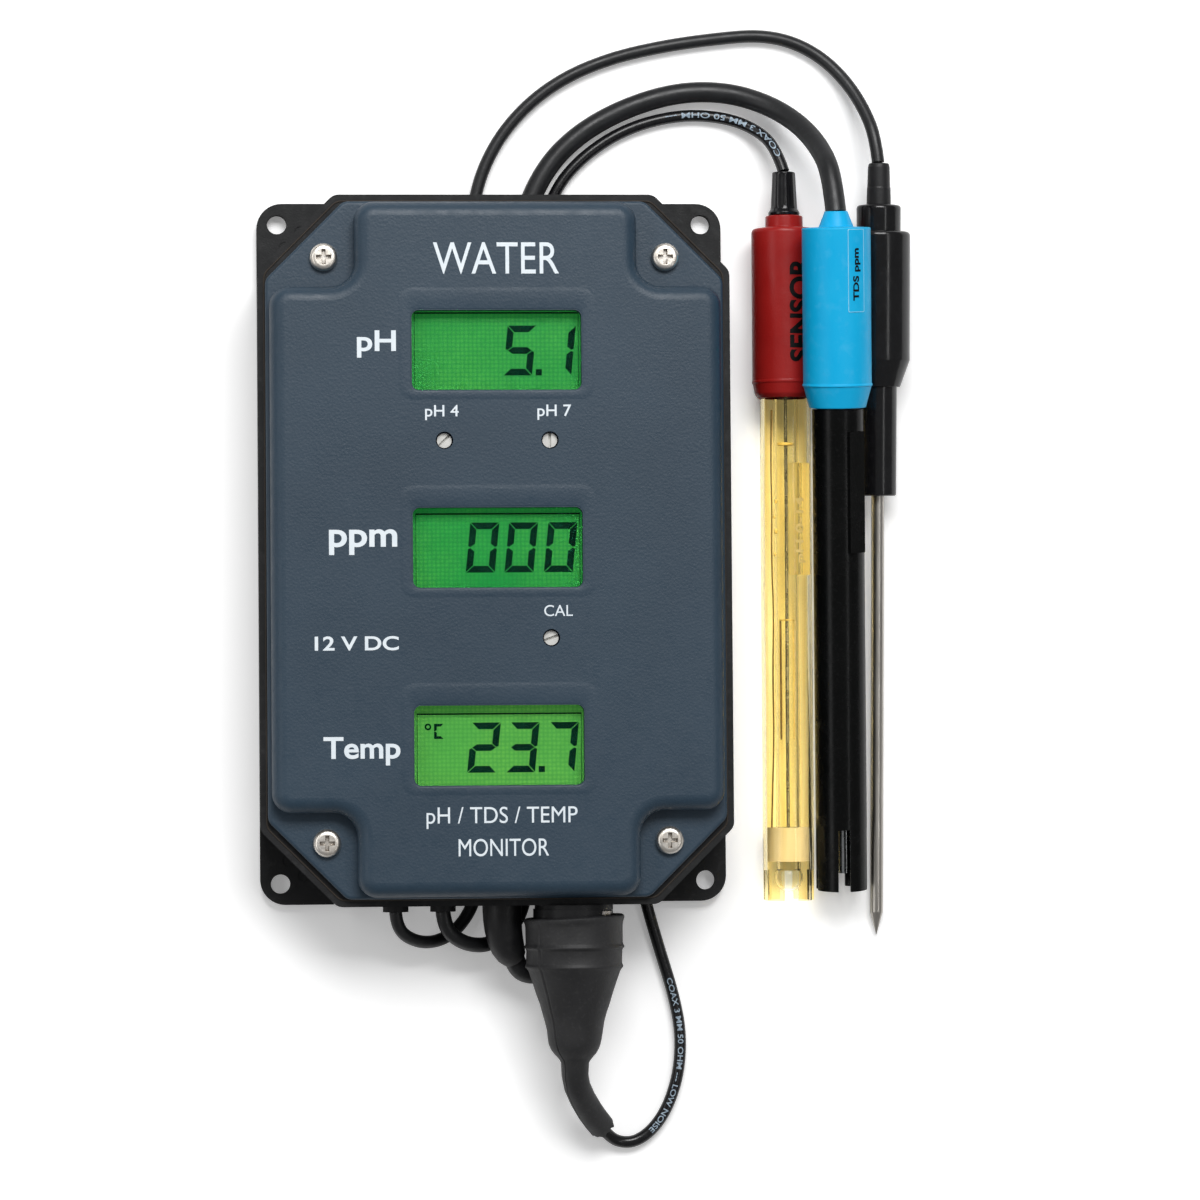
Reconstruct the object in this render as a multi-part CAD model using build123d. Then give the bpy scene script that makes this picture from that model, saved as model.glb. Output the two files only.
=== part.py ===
from build123d import *
import math
import os

os.makedirs("parts", exist_ok=True)

# Frame: origin in the middle of the case's back, +Z out of the front, +Y to the case's top, +X right.

# Case
case_width = 106.5
case_height = 160.0
case_depth = 31.0
half_width = case_width / 2
half_height = case_height / 2
case_corner_cut = 17.2        # leg of each 45 degree corner
case_corner_round = 3.0
case_wall = 4.8
rim_z = 22.5                  # parting plane of rear case and front cover
floor_top_z = 8.2
channel_top_z = 6.5           # cable channel across the back
channel_half_width = 36.5
rail_wall = 2.0
lug_thickness = 3.0
lug_corner_round = 5.8
wall_screw_spacing_x = case_width - 9.3
wall_screw_spacing_y = case_height - 9.5
wall_screw_hole = 4.4
ejector_mark = 2.9
ejector_depth = 0.2
ejector_inward = 5.4          # from the wall screw hole, along the lug's edge
ejector_outward = 1.9         # from the hole, towards the lug's edge

# Cover
cover_inset = 1.7             # cover skirt inside the rear case's edge
cover_corner_cut = 17.6
shelf_thickness = 2.2
front_wall = 2.5
front_inset = 2.6             # raised front inside the rear case's edge, at the sides
front_notch = 19.0
front_corner_round = 4.4
front_inner_round = 5.5
front_edge_round = 3.4
step_round = 0.8

# Seal between rear case and cover
seal_width = 1.3
seal_height = 0.8
seal_inset = 2.65
fit_gap = 0.05                # radial or side clearance of parts that locate in each other

# Cover screws
cover_screw_x = half_width - 14.85
cover_screw_y = half_height - 14.4
cover_screw_head = 6.3
cover_screw_head_height = 2.0
cover_screw_shank = 3.0
cover_screw_length = 16.0
screw_boss = 8.0
recess_width = 0.9
recess_length = 3.4
recess_depth = 1.1

# Displays
window_x = 0.0
window_ys = {"ph": 44.3, "tds": 0.15, "temp": -44.0}
window_width = 38.0
window_height = 17.9
window_corner = 1.6
window_lap = 1.75             # clear window wider than its opening, each side
window_thickness = 1.0
display_gap = 0.1
display_thickness = 2.1
display_lap = 1.1
tray_wall = 1.7
tray_lip_drop = 0.3           # tray rim below the clear window
board_below_display = 3.7
board_thickness = 1.6

# Main board
board_side_gap = 1.15         # to the inside of the raised front
board_width = 2 * (half_width - front_inset - front_notch - front_wall - board_side_gap)
board_top_y = half_height - 8.0
board_bottom_y = 14.0 - half_height
board_screw_inset_x = 4.0
board_screw_inset_y = 4.0
board_boss = 6.4
board_screw_head = 5.0
board_screw_head_height = 1.8
board_screw_shank = 2.5
board_screw_length = 6.5      # below the head

# Trimmers behind the front's access holes
trimmer_places = {"ph4": (-11.8, 24.1), "ph7": (11.8, 24.1), "tds": (11.8, -20.1)}
trimmer_angles = {"ph4": 45.0, "ph7": 90.0, "tds": 20.0}
trimmer_size = 6.6
trimmer_body_height = 5.0
access_hole = 3.9
rotor_head = 3.3
rotor_stem = 2.0
rotor_stem_depth = 3.6
rotor_lift = 0.3              # underside of rotor head above trimmer body
rotor_below_front = 1.2
rotor_slot_width = 0.6
rotor_slot_depth = 0.8

# Cable exits in the bottom wall
exit_z = 12.8
temp_gland_x = -22.8
power_gland_x = -12.1
jack_x = 17.3
sleeve_diameter = 17.7
relief_x = jack_x - sleeve_diameter / 2 - 7.15
gland_neck = 4.8
gland_flange = 5.8
gland_inner_flange = 6.6
gland_flange_thickness = 1.5
relief_collar = 8.9
relief_collar_length = 2.2
relief_neck = 6.0
relief_inner_flange = 8.4
relief_start = (relief_x + 0.2, -half_height - 1.9, exit_z - 0.1)
relief_end = (relief_x + 2.6, -half_height - 11.4, exit_z - 3.2)
relief_start_dia = 8.6
relief_end_dia = 6.2

# Coaxial jack and plug: stations run outwards from the case's bottom face
jack_thread = 9.5
jack_z = rim_z - seal_height - jack_thread / 2 - 0.35
jack_barrel = jack_thread + 0.1
jack_barrel_end = 11.5
jack_thread_end = 9.0         # inside the case
jack_bore = jack_barrel - 1.2
jack_bore_start = 4.0
jack_core_bore = 6.8
jack_flange = jack_thread + 2.9
jack_flange_thickness = 0.8
washer_thickness = 1.3
jack_nut_flats = jack_thread + 2.5
jack_nut_thickness = 2.2
dielectric_nose = 4.4
dielectric_end = 9.5
contact_diameter = 2.1
contact_bore = 1.44
contact_tail_end = 12.0       # inside the case
bayonet_lug = 1.8
bayonet_lug_reach = jack_barrel / 2 + 1.2
bayonet_lug_station = 6.5
washer_diameter = sleeve_diameter
sleeve_start = 1.5
sleeve_end = 13.4
sleeve_bore = jack_barrel + 0.4
sleeve_groove = 2 * bayonet_lug_reach + 0.6
sleeve_groove_half = 1.5
sleeve_entry_width = 2.4
sleeve_flange_gap = 0.5       # round the jack's flange
sleeve_knurls = 24
sleeve_knurl_depth = 0.35
plug_shoulder = sleeve_bore + 1.0
plug_shoulder_start = 12.0
plug_shoulder_end = 23.5
plug_nose = jack_bore - 0.4
plug_nose_bore = plug_nose - 1.0
plug_nose_start = 6.0
plug_core = 6.0
plug_core_end = 20.0
plug_pin_diameter = 1.34
plug_pin_start = 4.4
crimp_diameter = 6.4
crimp_end = 31.0
boot_gap = 0.3                # between the boot and the turning sleeve
boot_seat_gap = 0.1
boot_mouth = 2.8
boot_cavity_end = 14.2
boot_taper_end = 16.2
# radius over the sleeve's half diameter, and station, of the boot's hood; then radius and station of its tail
boot_hood = [(2.45, 2.8), (2.55, 3.6), (2.25, 4.4), (2.15, 9.0), (2.4, 9.3), (2.4, 9.9),
             (2.0, 10.3), (1.95, 13.4), (2.15, 13.7), (2.1, 14.4), (1.5, 15.0)]
boot_tail = [(8.7, 20.0), (7.3, 24.4), (6.3, 28.4), (5.8, 32.0), (4.9, 33.9), (3.4, 35.4), (3.05, 36.2)]
boot_neck = 6.1
boot_neck_route = [(jack_x, -half_height - 34.5, jack_z), (jack_x + 0.2, -half_height - 39.2, jack_z - 1.3),
                   (jack_x + 2.8, -half_height - 46.0, jack_z - 6.6),
                   (jack_x + 6.9, -half_height - 51.3, jack_z - 12.0)]
boot_neck_bend = 9.0

# pH electrode: stations run from its tip towards its cable
ph_body_dia = 11.7
ph_body_bore = ph_body_dia - 2.0
ph_cap_dia = ph_body_dia + 3.3
ph_x = half_width + 14.1
ph_tip = (ph_x, -79.9, ph_body_dia / 2 + 0.15)
ph_cap_rest = (ph_x, 36.0, ph_cap_dia / 2 + 0.1)
ph_body_end = 126.0
ph_guard_length = 8.9
ph_guard_slot = 3.2
ph_stem_dia = 5.6
ph_stem_bore = 4.2
ph_stem_start = 6.8
ph_stem_end = 122.0
ph_bulb_dia = 6.6
ph_bulb_wall = 0.5
ph_bulb_station = 5.2
ph_junction_start = 8.9
ph_junction_end = 16.6
ph_wire_dia = 0.8
ph_wire_start = 14.0
ph_cap_start = 114.7
ph_cap_end = 153.6
ph_cap_nose = 3.4
ph_collar_dia = 8.5
ph_collar_length = 3.0
ph_relief_flange_dia = 7.2
ph_relief_flange_length = 1.4
ph_relief_base_dia = 6.0
ph_relief_tip_dia = 5.1
ph_relief_length = 8.6

# TDS probe: stations run from its tip towards its cable
tds_core_dia = 9.4
tds_sleeve_dia = tds_core_dia + 2.3
tds_cap_taper_dia = tds_sleeve_dia + 1.2
tds_cap_dia = tds_sleeve_dia + 3.9
tds_tip_x = ph_x + ph_body_dia / 2 + tds_sleeve_dia / 2 + 0.45
tds_top_x = ph_x + ph_cap_dia / 2 + 2.7
tds_tip = (tds_tip_x, -77.5, tds_sleeve_dia / 2 + 0.5)
tds_top = (tds_top_x, 73.0, 22.9)
tds_sleeve_end = 109.8
tds_core_start = 14.0
tds_core_end = 122.0
tds_slot_width = 2.8
tds_slot_length = 14.2
tds_plate_start = 77.4
tds_plate_end = 104.9
tds_plate_width = 4.5
tds_plate_rise = 0.5
tds_plate_turn = 36.0         # round the sleeve from its top
tds_electrode_dia = 1.9
tds_electrode_half = 2.3
tds_electrode_start = 4.0
tds_electrode_seat = 6.0
tds_cap_start = 110.1
tds_cap_taper_end = 115.1
tds_cap_end = 151.0
tds_cap_edge = 0.5
tds_collar_base_dia = 7.6
tds_collar_tip_dia = 5.6
tds_collar_length = 2.8

# Temperature probe: stations run from its point towards its cable
needle_dia = 3.0
temp_handle_dia = 14.5
temp_tip = (tds_tip_x + 8.5, -88.3, 1.36)
temp_rest = (tds_top_x + 11.35, 43.7, temp_handle_dia / 2 + 0.1)
needle_bore = 2.0
needle_point = 5.3
needle_end = 118.0
sensor_dia = 1.6
sensor_length = 6.0
sensor_start = 8.0
temp_neck_dia = 8.6
temp_neck_start = 100.9
temp_neck_end = 125.8
temp_taper_dia = 10.2
temp_taper_end = 132.0
temp_handle_end = 161.5
temp_handle_round = 1.6
temp_collar_dia = 10.2
temp_collar_end = 167.6
temp_relief_base_dia = 5.6
temp_relief_tip_dia = 4.8
temp_relief_end = 177.2

# Cords: diameter, and hand-chosen route from the case to the far end
bend_share = 0.45             # of the shorter run beside a bend
temp_cord_dia = 2.9
temp_cord_route = [(-22.8, -81.5, 12.8), (-22.6, -84.2, 12.6), (-20.6, -87.2, 10.8), (-16.0, -88.9, 7.4),
                   (-11.0, -87.9, 3.9), (-7.0, -84.4, 1.9), (-4.2, -79.2, 1.45), (-2.8, -70.5, 1.45),
                   (-3.0, -56.0, 1.45), (-4.2, -30.0, 1.45), (-5.0, 10.0, 1.45), (-5.0, 46.0, 1.45),
                   (-4.6, 68.0, 1.45), (-3.3, 82.5, 1.45), (1.0, 93.3, 1.45), (8.0, 102.2, 1.45),
                   (17.0, 109.0, 1.45), (28.0, 113.7, 1.45), (40.5, 116.6, 1.45), (52.5, 118.3, 1.45),
                   (62.5, 119.2, 1.45), (70.5, 117.7, 1.45), (77.5, 113.8, 1.7), (83.0, 107.8, 3.4),
                   (86.6, 101.0, 6.2), (88.5, 94.6, 8.9), (89.05, 88.9, 9.41)]
power_cord_dia = 3.4
power_cord_route = [(-12.1, -81.5, 12.8), (-11.8, -84.3, 12.6), (-9.9, -87.2, 11.6), (-6.2, -89.2, 9.2),
                    (-1.8, -89.5, 6.1), (2.6, -87.3, 3.6), (5.9, -83.0, 2.2), (7.4, -77.0, 1.7),
                    (7.0, -67.0, 1.7), (4.8, -49.5, 1.7), (3.6, -34.0, 1.7)]
power_socket_width = 8.0
power_socket_height = 5.2
power_socket_length = 16.0
power_socket_hole = 1.6
power_socket_pitch = 3.4
tds_cord_dia = 4.7
tds_cord_route = [(3.9, -91.4, 9.6), (4.45, -93.8, 8.93), (6.6, -95.9, 7.3), (10.2, -96.1, 5.0),
                  (13.8, -93.2, 3.1), (16.8, -88.0, 2.35), (18.3, -80.9, 2.35), (17.8, -69.0, 2.35),
                  (15.6, -48.0, 2.35), (12.3, -12.0, 2.35), (9.0, 28.0, 2.35), (7.2, 58.0, 2.35),
                  (7.4, 76.0, 2.35), (12.8, 88.2, 2.35), (20.8, 96.3, 2.35), (31.5, 102.2, 2.35),
                  (43.5, 105.8, 2.35), (54.5, 105.9, 2.5), (63.6, 103.0, 4.9), (70.6, 98.0, 9.6),
                  (74.9, 91.6, 15.6), (76.9, 84.6, 21.6), (77.5, 75.8, 23.2)]
ph_cord_dia = 2.7
ph_cord_route = [(24.2, -131.3, 4.6), (25.6, -133.2, 2.85), (28.4, -135.0, 1.6), (32.4, -134.9, 1.35),
                 (36.7, -131.6, 1.35), (40.0, -126.2, 1.35), (42.3, -118.6, 1.35), (42.7, -109.8, 1.35),
                 (41.0, -101.0, 1.35), (38.0, -91.2, 1.35), (34.9, -80.4, 1.35), (32.0, -68.0, 1.35),
                 (28.4, -46.0, 1.35), (22.8, -10.0, 1.35), (16.6, 28.0, 1.35), (12.7, 56.0, 1.35),
                 (12.1, 73.5, 1.35), (15.2, 83.6, 1.35), (22.0, 91.4, 1.35), (32.0, 97.7, 1.35),
                 (44.0, 100.8, 1.35), (54.5, 100.2, 1.5), (61.6, 97.2, 3.4), (65.8, 92.6, 6.6),
                 (67.35, 86.9, 8.3)]

shelf_z = rim_z + shelf_thickness
front_inner_z = case_depth - front_wall
window_back_z = front_inner_z - window_thickness
display_top_z = window_back_z - display_gap
display_back_z = display_top_z - display_thickness
board_top_z = display_back_z - board_below_display
board_back_z = board_top_z - board_thickness


def save(node, *solids):
    shape = solids[0] if len(solids) == 1 else Compound(list(solids))
    export_step(shape, f"parts/{node}.step")


def mirrored_places(x, y):
    return [(x, y), (-x, y), (x, -y), (-x, -y)]


def octagon(inset, cut, corner_round):
    # cut is the leg of the 45 degree corners at this inset
    w = half_width - inset
    h = half_height - inset
    points = [(w - cut, h), (w, h - cut), (w, cut - h), (w - cut, -h),
              (cut - w, -h), (-w, cut - h), (-w, h - cut), (cut - w, h)]
    outline = make_face(Polyline(*points, close=True))
    return fillet(outline.vertices(), corner_round)


def inset_cut(inset):
    # the corner leg of the case's outline moved inwards by inset
    return case_corner_cut - inset * (2 - math.sqrt(2))


def slab(outline, low, high):
    return Pos(0, 0, low) * extrude(outline, amount=high - low)


def rod_z(x, y, diameter, low, high):
    return Pos(x, y, (low + high) / 2) * Cylinder(diameter / 2, high - low)


def turned(*profile):
    # revolves (radius, station) points about the station axis
    return revolve(make_face(Polyline(*profile, close=True)), axis=Axis.Y)


def ring(outer, inner, low, high):
    return turned((inner / 2, low), (outer / 2, low), (outer / 2, high), (inner / 2, high))


def rod(diameter, low, high):
    return ring(diameter, 0, low, high)


def cone(low_diameter, high_diameter, low, high):
    return turned((0, low), (low_diameter / 2, low), (high_diameter / 2, high), (0, high))


def lying(tip, towards):
    # a frame at tip whose Y runs towards the second point, and whose Z is the upward side
    along = (Vector(*towards) - Vector(*tip)).normalized()
    side = along.cross(Vector(0, 0, 1)).normalized()
    return Plane(origin=tip, x_dir=side, z_dir=side.cross(along))


def wall_exit(x, z):
    # a frame on the bottom face whose Y runs outwards
    return Plane(origin=(x, -half_height, z), x_dir=(-1, 0, 0), z_dir=(0, 0, 1))


def tube_along(route, radii, diameter):
    path = FilletPolyline(*route, radius=radii)
    start = Plane(origin=path @ 0, z_dir=path % 0)
    return sweep(start * Circle(diameter / 2), path=path), path


def cord_tube(name, route, diameter):
    points = [Vector(*point) for point in route]
    radii = []
    for before, here, after in zip(points, points[1:], points[2:]):
        arriving = here - before
        leaving = after - here
        half_turn = math.radians(arriving.get_angle(leaving)) / 2
        radii.append(bend_share * min(arriving.length, leaving.length) / math.tan(half_turn))
    tube, path = tube_along(route, radii, diameter)
    expected = math.pi * diameter ** 2 / 4 * path.length
    print(name, "length", round(path.length, 1), "volume ratio", round(tube.volume / expected, 4))
    print("   bend radii", [round(radius, 1) for radius in radii])
    return tube


def cross_recess(top_z):
    slot = Box(recess_length, recess_width, recess_depth)
    return Pos(0, 0, top_z - recess_depth / 2) * (slot + Rot(0, 0, 90) * slot)


def pan_head(diameter, height):
    head = Pos(0, 0, height / 2) * Cylinder(diameter / 2, height)
    return fillet(head.edges().group_by(Axis.Z)[-1], height * 0.6)


def rear_case():
    shell = slab(octagon(0, case_corner_cut, case_corner_round), 0, rim_z)
    shell += slab(RectangleRounded(case_width, case_height, lug_corner_round), 0, lug_thickness)
    inner = octagon(case_wall, inset_cut(case_wall), case_corner_round)
    shell -= slab(inner, floor_top_z, rim_z)
    trough_width = half_width - case_wall - channel_half_width - rail_wall
    trough_x = channel_half_width + rail_wall + trough_width / 2
    for side in (1, -1):
        trough = Pos(side * trough_x, 0, 0) * Rectangle(trough_width, case_height)
        shell -= slab(trough & inner, rail_wall, floor_top_z)
    for x, y in mirrored_places(cover_screw_x, cover_screw_y):
        shell += rod_z(x, y, screw_boss, rail_wall, rim_z)
    groove = octagon(seal_inset - fit_gap, inset_cut(seal_inset - fit_gap), case_corner_round)
    island_inset = seal_inset + seal_width + fit_gap
    groove -= octagon(island_inset, inset_cut(island_inset), case_corner_round)
    shell -= slab(groove, rim_z - seal_height, rim_z)
    shell -= slab(Rectangle(2 * channel_half_width, case_height), 0, channel_top_z)
    for x, y in mirrored_places(cover_screw_x, cover_screw_y):
        pilot_low = shelf_z - cover_screw_length - 1
        shell -= rod_z(x, y, cover_screw_shank + 2 * fit_gap, pilot_low, rim_z)
    for x, y in mirrored_places(wall_screw_spacing_x / 2, wall_screw_spacing_y / 2):
        shell -= rod_z(x, y, wall_screw_hole, 0, lug_thickness)
        for inward_x, inward_y in ((ejector_inward, -ejector_outward), (-ejector_outward, ejector_inward)):
            place_x = x - math.copysign(inward_x, x)
            place_y = y - math.copysign(inward_y, y)
            shell -= rod_z(place_x, place_y, ejector_mark, lug_thickness - ejector_depth, lug_thickness)
    for x, z, neck in ((temp_gland_x, exit_z, gland_neck), (power_gland_x, exit_z, gland_neck),
                       (relief_x, exit_z, relief_neck), (jack_x, jack_z, jack_thread)):
        shell -= wall_exit(x, z) * rod(neck + 2 * fit_gap, -case_wall - 1, 0)
    return shell


def front_outline(inset):
    # rectangle with a square notch at each corner, inset from the raised front's own sides
    w = half_width - front_inset - inset
    h = half_height - front_inset - inset + 0.4
    nx = w - front_notch
    ny = h - front_notch
    points = [(nx, h), (nx, ny), (w, ny), (w, -ny), (nx, -ny), (nx, -h),
              (-nx, -h), (-nx, -ny), (-w, -ny), (-w, ny), (-nx, ny), (-nx, h)]
    outline = make_face(Polyline(*points, close=True))
    inner_corners = [v for v in outline.vertices() if abs(abs(v.X) - nx) < 0.01 and abs(abs(v.Y) - ny) < 0.01]
    outline = fillet(inner_corners, front_inner_round + inset)
    outer_corners = [v for v in outline.vertices()
                     if (abs(abs(v.X) - nx) < 0.01 and abs(abs(v.Y) - h) < 0.01)
                     or (abs(abs(v.X) - w) < 0.01 and abs(abs(v.Y) - ny) < 0.01)]
    return fillet(outer_corners, max(front_corner_round - inset, 1.0))


def front_cover():
    raised = slab(front_outline(0), rim_z, case_depth)
    raised = fillet(raised.edges().group_by(Axis.Z)[-1], front_edge_round)
    shelf = slab(octagon(cover_inset, cover_corner_cut, case_corner_round), rim_z, shelf_z)
    shelf = fillet(shelf.edges().group_by(Axis.Z)[-1], step_round)
    cover = raised + shelf
    cover -= slab(front_outline(front_wall), rim_z, front_inner_z)
    for x, y in board_screw_places():
        cover += rod_z(x, y, board_boss, board_top_z, front_inner_z)
        pilot_top = board_back_z + board_screw_length + 0.5
        cover -= rod_z(x, y, board_screw_shank + 2 * fit_gap, board_top_z, pilot_top)
    for y in window_ys.values():
        opening = RectangleRounded(window_width, window_height, window_corner)
        cover -= slab(Pos(window_x, y) * opening, front_inner_z, case_depth)
    for x, y in trimmer_places.values():
        cover -= rod_z(x, y, access_hole, front_inner_z, case_depth)
    for x, y in mirrored_places(cover_screw_x, cover_screw_y):
        cover -= rod_z(x, y, cover_screw_shank + 2 * fit_gap, rim_z, shelf_z)
    return cover


def board_screw_places():
    x = board_width / 2 - board_screw_inset_x
    return [(side * x, y) for side in (1, -1)
            for y in (board_top_y - board_screw_inset_y, board_bottom_y + board_screw_inset_y)]


def case_seal():
    outer = octagon(seal_inset, inset_cut(seal_inset), case_corner_round)
    inner_inset = seal_inset + seal_width
    outer -= octagon(inner_inset, inset_cut(inner_inset), case_corner_round)
    return slab(outer, rim_z - seal_height, rim_z)


def cover_screw(x, y):
    head = pan_head(cover_screw_head, cover_screw_head_height) - cross_recess(cover_screw_head_height)
    shank = rod_z(0, 0, cover_screw_shank, -cover_screw_length, 0)
    return Pos(x, y, shelf_z) * (head + shank)


def board_screw(x, y):
    head = Rot(180, 0, 0) * pan_head(board_screw_head, board_screw_head_height)
    shank = rod_z(0, 0, board_screw_shank, 0, board_screw_length)
    return Pos(x, y, board_back_z) * (head + shank)


def display_parts(y):
    lap = 2 * window_lap
    pane = Rectangle(window_width + lap, window_height + lap)
    window = slab(Pos(window_x, y) * pane, window_back_z, front_inner_z)
    cell_width = window_width + 2 * display_lap
    cell_height = window_height + 2 * display_lap
    cell = slab(Pos(window_x, y) * Rectangle(cell_width, cell_height), display_back_z, display_top_z)
    tray_outline = Rectangle(cell_width + 2 * tray_wall, cell_height + 2 * tray_wall)
    recess = Rectangle(cell_width + 2 * fit_gap, cell_height + 2 * fit_gap)
    tray = slab(Pos(window_x, y) * tray_outline, board_top_z, window_back_z - tray_lip_drop)
    tray -= slab(Pos(window_x, y) * recess, display_back_z, window_back_z)
    return window, cell, tray


def main_board():
    middle_y = (board_top_y + board_bottom_y) / 2
    board = slab(Pos(0, middle_y) * Rectangle(board_width, board_top_y - board_bottom_y),
                 board_back_z, board_top_z)
    for x, y in board_screw_places():
        board -= rod_z(x, y, board_screw_shank + 2 * fit_gap, board_back_z, board_top_z)
    return board


def board_chips():
    # width, height and depth of each component, hung below the board at its place
    blocks = [((12, 12, 1.6), (0, 22)), ((5, 6, 1.6), (-16, 30)), ((5, 6, 1.6), (16, 30)),
              ((5, 6, 1.6), (-16, -8)), ((9.5, 6.5, 4.4), (15, -12)), ((10.5, 4.6, 3.4), (0, 2))]
    chips = []
    for (wide, tall, deep), (x, y) in blocks:
        chips.append(Pos(x, y, board_back_z - deep / 2) * Box(wide, tall, deep))
    for y in (-26, -36):
        chips.append(rod_z(-17, y, 6.3, board_back_z - 7.7, board_back_z))
    return chips


header_depth = 5.8
header_height = 6.4
header_y = board_bottom_y + 3.4 + header_depth / 2
header_widths = {"temp": 7.5, "power": 6.0, "tds": 12.5, "ph": 6.0}
header_xs = {"temp": -17.0, "power": -8.6, "tds": 2.0, "ph": 13.4}


def cable_header(name):
    block = Box(header_widths[name], header_depth, header_height)
    socket = Pos(0, -header_depth / 2, 0) * Box(header_widths[name] - 1.6, header_depth, header_height - 1.6)
    return Pos(header_xs[name], header_y, board_back_z - header_height / 2) * (block - socket)


def inner_lead(name, start, diameter):
    # from the inner end of an exit to the middle of its header's socket
    end = (header_xs[name], header_y, board_back_z - header_height / 2)
    x, y, z = start
    route = [start, (x, y + 2.4, z), (end[0], end[1] - 4.4, end[2]), end]
    tube, _ = tube_along(route, [1.2, 1.2], diameter)
    return tube


def trimmer_body(x, y):
    body = slab(Pos(x, y) * Rectangle(trimmer_size, trimmer_size), board_top_z, board_top_z + trimmer_body_height)
    top = board_top_z + trimmer_body_height
    return body - rod_z(x, y, rotor_stem + 2 * fit_gap, top - rotor_stem_depth - fit_gap, top)


def trimmer_rotor(x, y, angle):
    top = board_top_z + trimmer_body_height
    head_top = case_depth - rotor_below_front
    rotor = rod_z(0, 0, rotor_head, top + rotor_lift, head_top)
    rotor += rod_z(0, 0, rotor_stem, top - rotor_stem_depth, top + rotor_lift)
    slot = Pos(0, 0, head_top - rotor_slot_depth / 2) * Box(rotor_head + 1, rotor_slot_width, rotor_slot_depth)
    return Pos(x, y, 0) * Rot(0, 0, angle) * (rotor - slot)


def cable_gland(x):
    gland = rod(gland_flange, 0, gland_flange_thickness)
    gland += rod(gland_neck, -case_wall, 0)
    gland += rod(gland_inner_flange, -case_wall - gland_flange_thickness, -case_wall)
    return wall_exit(x, exit_z) * gland


def tds_relief():
    relief = rod(relief_collar, 0, relief_collar_length)
    relief += rod(relief_neck, -case_wall, 0)
    relief += rod(relief_inner_flange, -case_wall - gland_flange_thickness, -case_wall)
    relief = wall_exit(relief_x, exit_z) * relief
    length = (Vector(*relief_end) - Vector(*relief_start)).length
    return relief + lying(relief_start, relief_end) * cone(relief_start_dia, relief_end_dia, 0, length)


def jack_parts():
    body = rod(jack_flange, washer_thickness, washer_thickness + jack_flange_thickness)
    body += rod(jack_barrel, washer_thickness, jack_barrel_end)
    body += rod(jack_thread, -jack_thread_end, washer_thickness)
    for side in (90, -90):
        lug = Cylinder(bayonet_lug / 2, bayonet_lug_reach, align=(Align.CENTER, Align.CENTER, Align.MIN))
        body += Pos(0, bayonet_lug_station, 0) * Rot(0, side, 0) * lug
    body -= rod(jack_bore, jack_bore_start, jack_barrel_end)
    body -= rod(jack_core_bore, -jack_thread_end, jack_bore_start)
    washer = ring(washer_diameter, jack_thread + 2 * fit_gap, 0, washer_thickness)
    hexagon = Plane.XZ * RegularPolygon(jack_nut_flats / 2, 6, major_radius=False)
    nut = Pos(0, -case_wall, 0) * extrude(hexagon, amount=jack_nut_thickness)
    nut -= rod(jack_thread + 2 * fit_gap, -case_wall - jack_nut_thickness - 1, 0)
    insulator = rod(jack_core_bore - 2 * fit_gap, -jack_thread_end, jack_bore_start)
    insulator += rod(dielectric_nose, jack_bore_start, dielectric_end)
    insulator -= rod(contact_diameter + 2 * fit_gap, -jack_thread_end, dielectric_end)
    contact = rod(contact_diameter, -contact_tail_end, dielectric_end)
    contact -= rod(contact_bore, plug_pin_start - 1, dielectric_end)
    frame = wall_exit(jack_x, jack_z)
    return [frame * solid for solid in (body, washer, nut, insulator, contact)]


def plug_parts():
    body = ring(plug_nose, plug_nose_bore, plug_nose_start, plug_shoulder_start)
    body += rod(plug_shoulder, plug_shoulder_start, plug_shoulder_end)
    body += rod(crimp_diameter, plug_shoulder_end, crimp_end)
    body -= rod(plug_core + 2 * fit_gap, plug_shoulder_start - 1, plug_core_end)
    core = ring(plug_core, plug_pin_diameter + 2 * fit_gap, plug_shoulder_start, plug_core_end)
    pin = cone(plug_pin_diameter * 0.5, plug_pin_diameter, plug_pin_start, plug_pin_start + 1)
    pin += rod(plug_pin_diameter, plug_pin_start + 1, plug_core_end)
    frame = wall_exit(jack_x, jack_z)
    return [frame * solid for solid in (body, core, pin)]


def plug_sleeve():
    sleeve = rod(sleeve_diameter, sleeve_start, sleeve_end)
    sleeve -= rod(jack_flange + 2 * sleeve_flange_gap, sleeve_start, washer_thickness + jack_flange_thickness + 0.4)
    sleeve -= rod(sleeve_bore, sleeve_start, plug_shoulder_start)
    sleeve -= rod(plug_shoulder + 2 * fit_gap, plug_shoulder_start - 0.2, sleeve_end)
    groove_low = bayonet_lug_station - sleeve_groove_half
    groove_high = bayonet_lug_station + sleeve_groove_half
    sleeve -= rod(sleeve_groove, groove_low, groove_high)
    entry_length = bayonet_lug_station - sleeve_start
    entry = Pos(0, sleeve_start + entry_length / 2, 0) * Box(sleeve_entry_width, entry_length, sleeve_groove)
    sleeve -= entry
    for step in range(sleeve_knurls):
        flute = Rot(0, 45, 0) * Box(sleeve_knurl_depth, 1.4, sleeve_knurl_depth)
        flute = Pos(sleeve_diameter / 2, 0, 0) * flute
        sleeve -= Pos(0, sleeve_end - 1.6, 0) * Rot(0, step * 360 / sleeve_knurls, 0) * flute
    return wall_exit(jack_x, jack_z) * sleeve


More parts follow.
